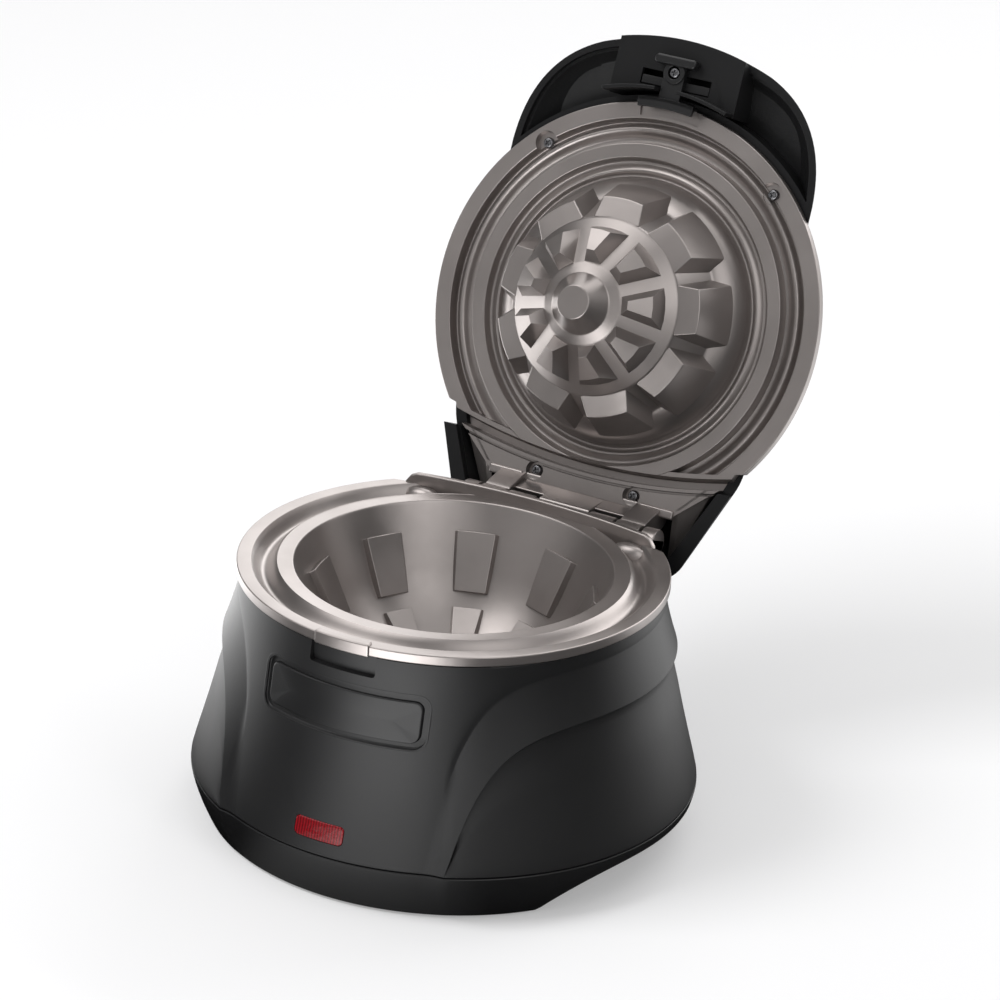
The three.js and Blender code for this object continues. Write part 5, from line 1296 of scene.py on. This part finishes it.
def pan_screw(length):
    """A screw with its seat at the origin, its shank up and its head down."""
    profile = [(0, length), (SCREW_RADIUS, length), (SCREW_RADIUS, 0), (HEAD_RADIUS, 0),
               (HEAD_RADIUS, -HEAD_HEIGHT * 0.35), (HEAD_RADIUS * 0.8, -HEAD_HEIGHT * 0.85),
               (0, -HEAD_HEIGHT)]
    head = turned("head", eased(profile, HEAD_ROUND), 48)
    arm = HEAD_RADIUS * CROSS_REACH
    tools = []
    for wide, long in ((arm, CROSS_WIDTH / 2), (CROSS_WIDTH / 2, arm)):
        floor, mouth = rectangle(wide * CROSS_TAPER, long * CROSS_TAPER), rectangle(wide, long)
        tools.append(solid("cross", [[(x, y, -HEAD_HEIGHT + CROSS_DEPTH) for x, y in floor],
                                     [(x, y, -HEAD_HEIGHT - 0.2) for x, y in mouth]]))
    return soften(carve(head, tools), 0.07, 1, 40)


def screws_at(name, seats, length, seed):
    """Screws on their seats, each turned by its own amount."""
    inputs = {"Geometry": "Geometry", "Screw": "Object", "Turn Seed": "Int", "Finish": "Material"}
    tree, sockets = node_tree("screws_at_seats", inputs)
    given = tree.nodes.new("NodeGroupInput")
    turn = tree.nodes.new("FunctionNodeRandomValue")
    turn.data_type = "FLOAT"
    turn.inputs["Max"].default_value = math.pi
    tree.links.new(given.outputs["Turn Seed"], turn.inputs["Seed"])
    amount = next(output for output in turn.outputs if output.enabled)
    copies_at(tree, given, given.outputs["Geometry"], "Screw", amount)
    prototype = pan_screw(length)
    made = grown(name, seats, tree, sockets, {"Screw": prototype, "Turn Seed": seed, "Finish": dark_plated})
    drop(prototype)
    return made


dark_plated, nodes, links, shader, place = finish_nodes("dark_plated_steel", (0.20, 0.20, 0.21), 0.25, 1.0)
uneven(nodes, links, place, shader, 800, 0.18, 0.4)
lid_seats = [(x, y, FACE + WELL_DEPTH - 0.1) for x, y in screw_wells()]
lid_screws = settle(screws_at("lid_screws", lid_seats, FLANGE_THICK, 4), "lid_screws", lid_place, "lid",
                    dark_plated)
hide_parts("lid_screw_1", "lid_screw_2", "lid_screw_3", "lid_screw_4")

# Lid cover: the upper black moulding. A low dome over the plate, a brim handle at the front with a
# hollow each side of the latch box, and a tail that wraps round the hinge.
COVER_HEIGHT = 41.7
HANDLE_HALF, HANDLE_REACH, HANDLE_LIFT, HANDLE_EDGE = 70.1, 114.5, 4.0, 8.0
HANDLE_LEAN, HANDLE_RIM, BRIM_DROP = 13.0, 3.0, 9.0
TAIL_HALF, TAIL_BACK, TAIL_END_HALF, TAIL_END = 70.5, 56.4, 51.0, 103.0
TAIL_HANG, TAIL_WALL, TAIL_START, TAIL_LEAN = 3.0, 5.5, 63.0, 10.0
LEAN_POWER = 1.3
BOX_HALF, BOX_HANG, BOX_WALL, BOX_PROUD = 29.0, 2.0, 1.6, 0.5
SHROUD_RADIUS, SHROUD_THICK, SHROUD_HANG = 92.2, 1.6, 10.0
HANDLE_CORNER, HANDLE_STRAIGHT, HANDLE_BEND = 0.56, 0.52, 0.83
LID_EDGE = 0.7
cover_foot = FACE + RIM_THICK + SEAT_GAP
brim_top = HANDLE_LIFT + HANDLE_EDGE + BRIM_DROP
shroud_outer = SHROUD_RADIUS + SHROUD_THICK


def handle_outline(inset):
    """Straight sides that bend round into a front edge on a circle."""
    x, r = HANDLE_HALF - inset, HANDLE_REACH - inset
    corner_x = HANDLE_HALF * HANDLE_CORNER
    corner_y = math.sqrt(r * r - corner_x * corner_x)
    swing = math.atan2(corner_x, corner_y)
    side = [(-x, 0), (-x, -HANDLE_REACH * HANDLE_STRAIGHT)]
    bend = (-x + HANDLE_HALF * 0.02, -HANDLE_REACH * HANDLE_BEND + inset * 0.5)
    side += curve_to(side[-1], bend, (-corner_x, -corner_y), 18)
    front = [polar(r, a, 0)[:2] for a in np.linspace(-math.pi / 2 - swing, -math.pi / 2 + swing, 41)[1:-1]]
    return side + front + [(-u, v) for u, v in side[::-1]]


def tail_outline(inset, back_wall=0):
    """Straight sides that draw in to a narrower end with cut corners."""
    x0, x1 = TAIL_HALF - inset, TAIL_END_HALF - inset
    y1 = TAIL_END - back_wall - min(inset, COVER_WALL)
    cut_x, cut_y, end_x = x1 + TAIL_WALL * 0.3, y1 - TAIL_WALL * 0.7, x1 - TAIL_WALL * 0.6
    corners = [(-x0, 0), (x0, 0), (x0, TAIL_BACK), (cut_x, cut_y), (end_x, y1), (-end_x, y1),
               (-cut_x, cut_y), (-x0, TAIL_BACK)]
    return [tuple(point) for point in eased(corners, 6, True, 5)]


def soft_plank(name, outline, low, high, lean, steps=9):
    """A plank whose sides lean in more and more towards its top."""
    loops = []
    for share in np.linspace(0, 1, steps + 1):
        loops.append([(x, y, low + (high - low) * share) for x, y in outline(lean * share**LEAN_POWER)])
    return solid(name, loops)


def brim_cone(lower):
    """All that lies under the brim's sloping top, or that much lower."""
    high, edge, away = brim_top - lower, HANDLE_LIFT + HANDLE_EDGE - lower, HANDLE_REACH * 1.3
    return turned("cone", [(0, -2 * BEYOND), (away, -2 * BEYOND), (away, edge - BRIM_DROP * 0.3),
                           (HANDLE_REACH, edge), (COVER_RADIUS * 0.9, high), (0, high)])


def cover_dome(inset):
    radius, height = COVER_RADIUS - inset, COVER_HEIGHT - inset
    profile = [(0, cover_foot - inset * 2), (radius, cover_foot - inset * 2)]
    for angle in np.linspace(0, math.pi / 2, 25):
        profile.append((radius * math.cos(angle), cover_foot + height * math.sin(angle)))
    profile[-1] = (0, profile[-1][1])
    return turned("dome", profile)


def lid_shell():
    """Dome, brim and tail in one wall, hollow under the brim and in the tail, with room for the plate."""
    brim = soft_plank("brim", handle_outline, HANDLE_LIFT, brim_top, HANDLE_LEAN)
    carve(brim, [brim_cone(0)], "INTERSECT")
    tail = soft_plank("tail", tail_outline, -TAIL_HANG, brim_top, TAIL_LEAN)
    far = 2 * BEYOND
    carve(tail, [block("below", (-far, -far, -far), (far, TAIL_START, cover_foot))])
    shell = carve(cover_dome(0), [brim, tail], "UNION")
    hollow = plank("hollow", handle_outline(HANDLE_RIM), -2 * BEYOND, HANDLE_LIFT + COVER_WALL)
    upper = soft_plank("upper", lambda inset: handle_outline(inset + HANDLE_RIM), HANDLE_LIFT,
                       brim_top - COVER_WALL, HANDLE_LEAN)
    carve(hollow, [upper], "UNION")
    carve(hollow, [brim_cone(COVER_WALL)], "INTERSECT")
    carve(hollow, [rod("inner", UPPER_RIM + HANDLE_RIM, -3 * BEYOND, 3 * BEYOND),
                   block("rear", (-2 * far, 0, -2 * far), (2 * far, 2 * far, 2 * far))])
    tail_room = soft_plank("tail_room", lambda inset: tail_outline(inset + TAIL_WALL, COVER_WALL),
                           -TAIL_HANG, brim_top - COVER_WALL, TAIL_LEAN + COVER_WALL - TAIL_WALL)
    carve(tail_room, [plank("under", tail_outline(TAIL_WALL, COVER_WALL), -2 * BEYOND, 0)], "UNION")
    carve(tail_room, [block("front", (-2 * far, -2 * far, -2 * far), (2 * far, 0.01, 2 * far))])
    plate_room = rod("plate_room", UPPER_RIM + 2 * SEAT_GAP, -2 * BEYOND, cover_foot - SEAT_GAP / 2)
    carve(shell, [cover_dome(COVER_WALL), plate_room, hollow, tail_room])
    return soften(shell, LID_EDGE, 3, 34)


def latch_box():
    """The box in the middle of the brim, open at the back, with the latch's window in its underside."""
    box = soft_plank("box", lambda inset: handle_outline(inset - BOX_PROUD), -BOX_HANG, brim_top,
                     HANDLE_LEAN)
    span = block("span", (-BOX_HALF, -4 * BEYOND, -BOX_HANG), (BOX_HALF, -CHORD_BACK, 2 * BEYOND))
    carve(box, [brim_cone(0), span], "INTERSECT")
    room = soft_plank("room", lambda inset: handle_outline(inset - BOX_PROUD + BOX_WALL), -BOX_HANG,
                      brim_top, HANDLE_LEAN)
    room_half, ceiling = BOX_HALF - BOX_WALL, HANDLE_LIFT + HANDLE_EDGE - BOX_WALL
    room_span = block("span", (-room_half, -4 * BEYOND, 0), (room_half, -CHORD_BACK, ceiling))
    carve(room, [room_span], "INTERSECT")
    carve(room, [rod("inner", shroud_outer, -2 * BEYOND, 2 * BEYOND)])
    carve(box, [rod("inner", SHROUD_RADIUS, -2 * BEYOND, 2 * BEYOND), room, *latch_window()])
    return soften(box, LID_EDGE, 3, 40)


HOOK_HALF, HOOK_WALL, HOOK_LEDGE, HOOK_THICK = 13.0, 2.0, 2.4, 2.2
STEM_HALF, STEM_THICK = 4.8, 2.6
GRIP_HALF, GRIP_DEPTH, GRIP_HANG, GRIP_SHARE, SCREW_SHARE = 9.5, 4.0, 5.0, 0.56, 1 / 3
LATCH_TRAVEL = 2.2
CARRIAGE_HALF, CARRIAGE_DEPTH, CARRIAGE_THICK = 15.6, 3.6, 3.4
wing_back = shroud_outer + RUN_GAP
wing_front = wing_back + CARRIAGE_DEPTH
latch_screw_front = shroud_outer + (HANDLE_REACH - shroud_outer) * SCREW_SHARE
grip_front = shroud_outer + (HANDLE_REACH - shroud_outer) * GRIP_SHARE
tongue_half = SCREW_RADIUS + BOSS_WALL
tongue_front = latch_screw_front + tongue_half


def latch_window():
    """Tools for the slot of the stem and for the window in which carriage and tongue slide."""
    return [
        block("stem_slot", (-STEM_HALF - RUN_GAP, -shroud_outer - RUN_GAP, -2 * BEYOND),
              (STEM_HALF + RUN_GAP, -SHROUD_RADIUS + SHROUD_THICK, RUN_GAP)),
        block("wings", (-CARRIAGE_HALF - RUN_GAP, -wing_front - LATCH_TRAVEL - RUN_GAP, -2 * BEYOND),
              (CARRIAGE_HALF + RUN_GAP, -wing_back + RUN_GAP, RUN_GAP)),
        block("tongue", (-tongue_half - RUN_GAP, -tongue_front - LATCH_TRAVEL - RUN_GAP, -2 * BEYOND),
              (tongue_half + RUN_GAP, -wing_back, RUN_GAP)),
    ]


shroud = arc_bar("shroud", SHROUD_RADIUS, shroud_outer, -SHROUD_HANG, HANDLE_LIFT + COVER_WALL, BOX_HALF,
                 0.4, 40)
shroud = carve(shroud, [block("slot", (-STEM_HALF - RUN_GAP, -2 * RIM_RADIUS, -2 * BEYOND),
                              (STEM_HALF + RUN_GAP, -CHORD_BACK, RUN_GAP))])
cover_moulding = join([lid_shell(), latch_box(), shroud])
floors = [face.index for face in cover_moulding.data.polygons
          if face.normal.z < -0.5 and face.center.z > HANDLE_LIFT + 1 and face.center.y < 0
          and math.hypot(face.center.x, face.center.y) > UPPER_RIM + HANDLE_RIM]
hide_black = moulded_black("leather_grain_black", 620, 0.00012, 0.46, 0.3)
lid_black = moulded_black("lid_black", 1500, 0.00002, 0.4, 0.2)
settle(cover_moulding, "lid_moulding", lid_place, "lid", lid_black)
cover_moulding.data.materials.append(hide_black)
for index in floors:
    cover_moulding.data.polygons[index].material_index = 1
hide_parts("lid_cover")

# Latch: a T-shaped black slide under the handle with a grip, a screw boss and a hook that catches the
# tab of the lower plate. It is screwed to a carriage that a small spring pushes back inside the box.
hook_inner = RIM_RADIUS + TAB_REACH + RUN_GAP
hook_outer = hook_inner + HOOK_WALL
stem_top = -BOX_HANG - SEAT_GAP
ledge_low = -RIM_THICK - TAB_RISE / 2 - RUN_GAP
hook_bottom = ledge_low - HOOK_THICK


def latch_parts():
    parts = [arc_bar("wall", hook_inner, hook_outer, hook_bottom, stem_top, HOOK_HALF, 0.4),
             arc_bar("ledge", hook_inner - HOOK_LEDGE, hook_outer, hook_bottom, ledge_low, HOOK_HALF, 0.4)]
    stem = block("stem", (-STEM_HALF, -grip_front, stem_top - STEM_THICK),
                 (STEM_HALF, -hook_inner - HOOK_WALL / 2, stem_top))
    well_radius = HEAD_RADIUS + SEAT_GAP
    well = rod("well", well_radius, -BEYOND, stem_top - STEM_THICK / 2, 40, (0, -latch_screw_front))
    parts.append(soften(carve(stem, [well]), 0.35, 2, 40))
    collar_low = stem_top - STEM_THICK - HEAD_HEIGHT / 2
    collar_top = stem_top - 0.2
    rim = eased([(well_radius, collar_top), (well_radius, collar_low), (STEM_HALF, collar_low),
                 (STEM_HALF, collar_top)], 0.4, True)
    parts.append(turned("boss", rim, 48, (0, -latch_screw_front), "tied"))
    grip_loop = rounded_loop(GRIP_HALF, GRIP_DEPTH / 2, GRIP_DEPTH / 2 - SEAT_GAP, 8)
    bar = [(x, y - grip_front) for x, y in grip_loop]
    parts.append(soften(plank("grip", bar, stem_top - GRIP_HANG, stem_top), 0.9, 3, 40))
    return parts


latch = settle(join(latch_parts()), "latch_moulding", lid_place, "latch", plate_black)
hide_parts("latch_slide")
wings = soften(block("wings", (-CARRIAGE_HALF, -wing_front, -BOX_HANG + SEAT_GAP),
                     (CARRIAGE_HALF, -wing_back, CARRIAGE_THICK)), 0.35, 2)
tongue = soften(block("tongue", (-tongue_half, -tongue_front, -BOX_HANG + SEAT_GAP),
                      (tongue_half, -wing_back, CARRIAGE_THICK)), 0.35, 2)
carriage = settle(join([wings, tongue]), "latch_carriage_moulding", lid_place, "latch",
                  inside_black)
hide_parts("latch_carriage")
latch_seat = [(0, -latch_screw_front, stem_top - STEM_THICK / 2 - SEAT_GAP)]
latch_screw_length = STEM_THICK / 2 + BOX_HANG + CARRIAGE_THICK - BOX_WALL
latch_screw = settle(screws_at("latch_screw_head", latch_seat, latch_screw_length, 9), "latch_screw_head",
                     lid_place, "latch", dark_plated)
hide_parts("latch_screw")
dress("latch_spring", plated)
spring = frame["nodes"]["latch_spring"]
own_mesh(spring)
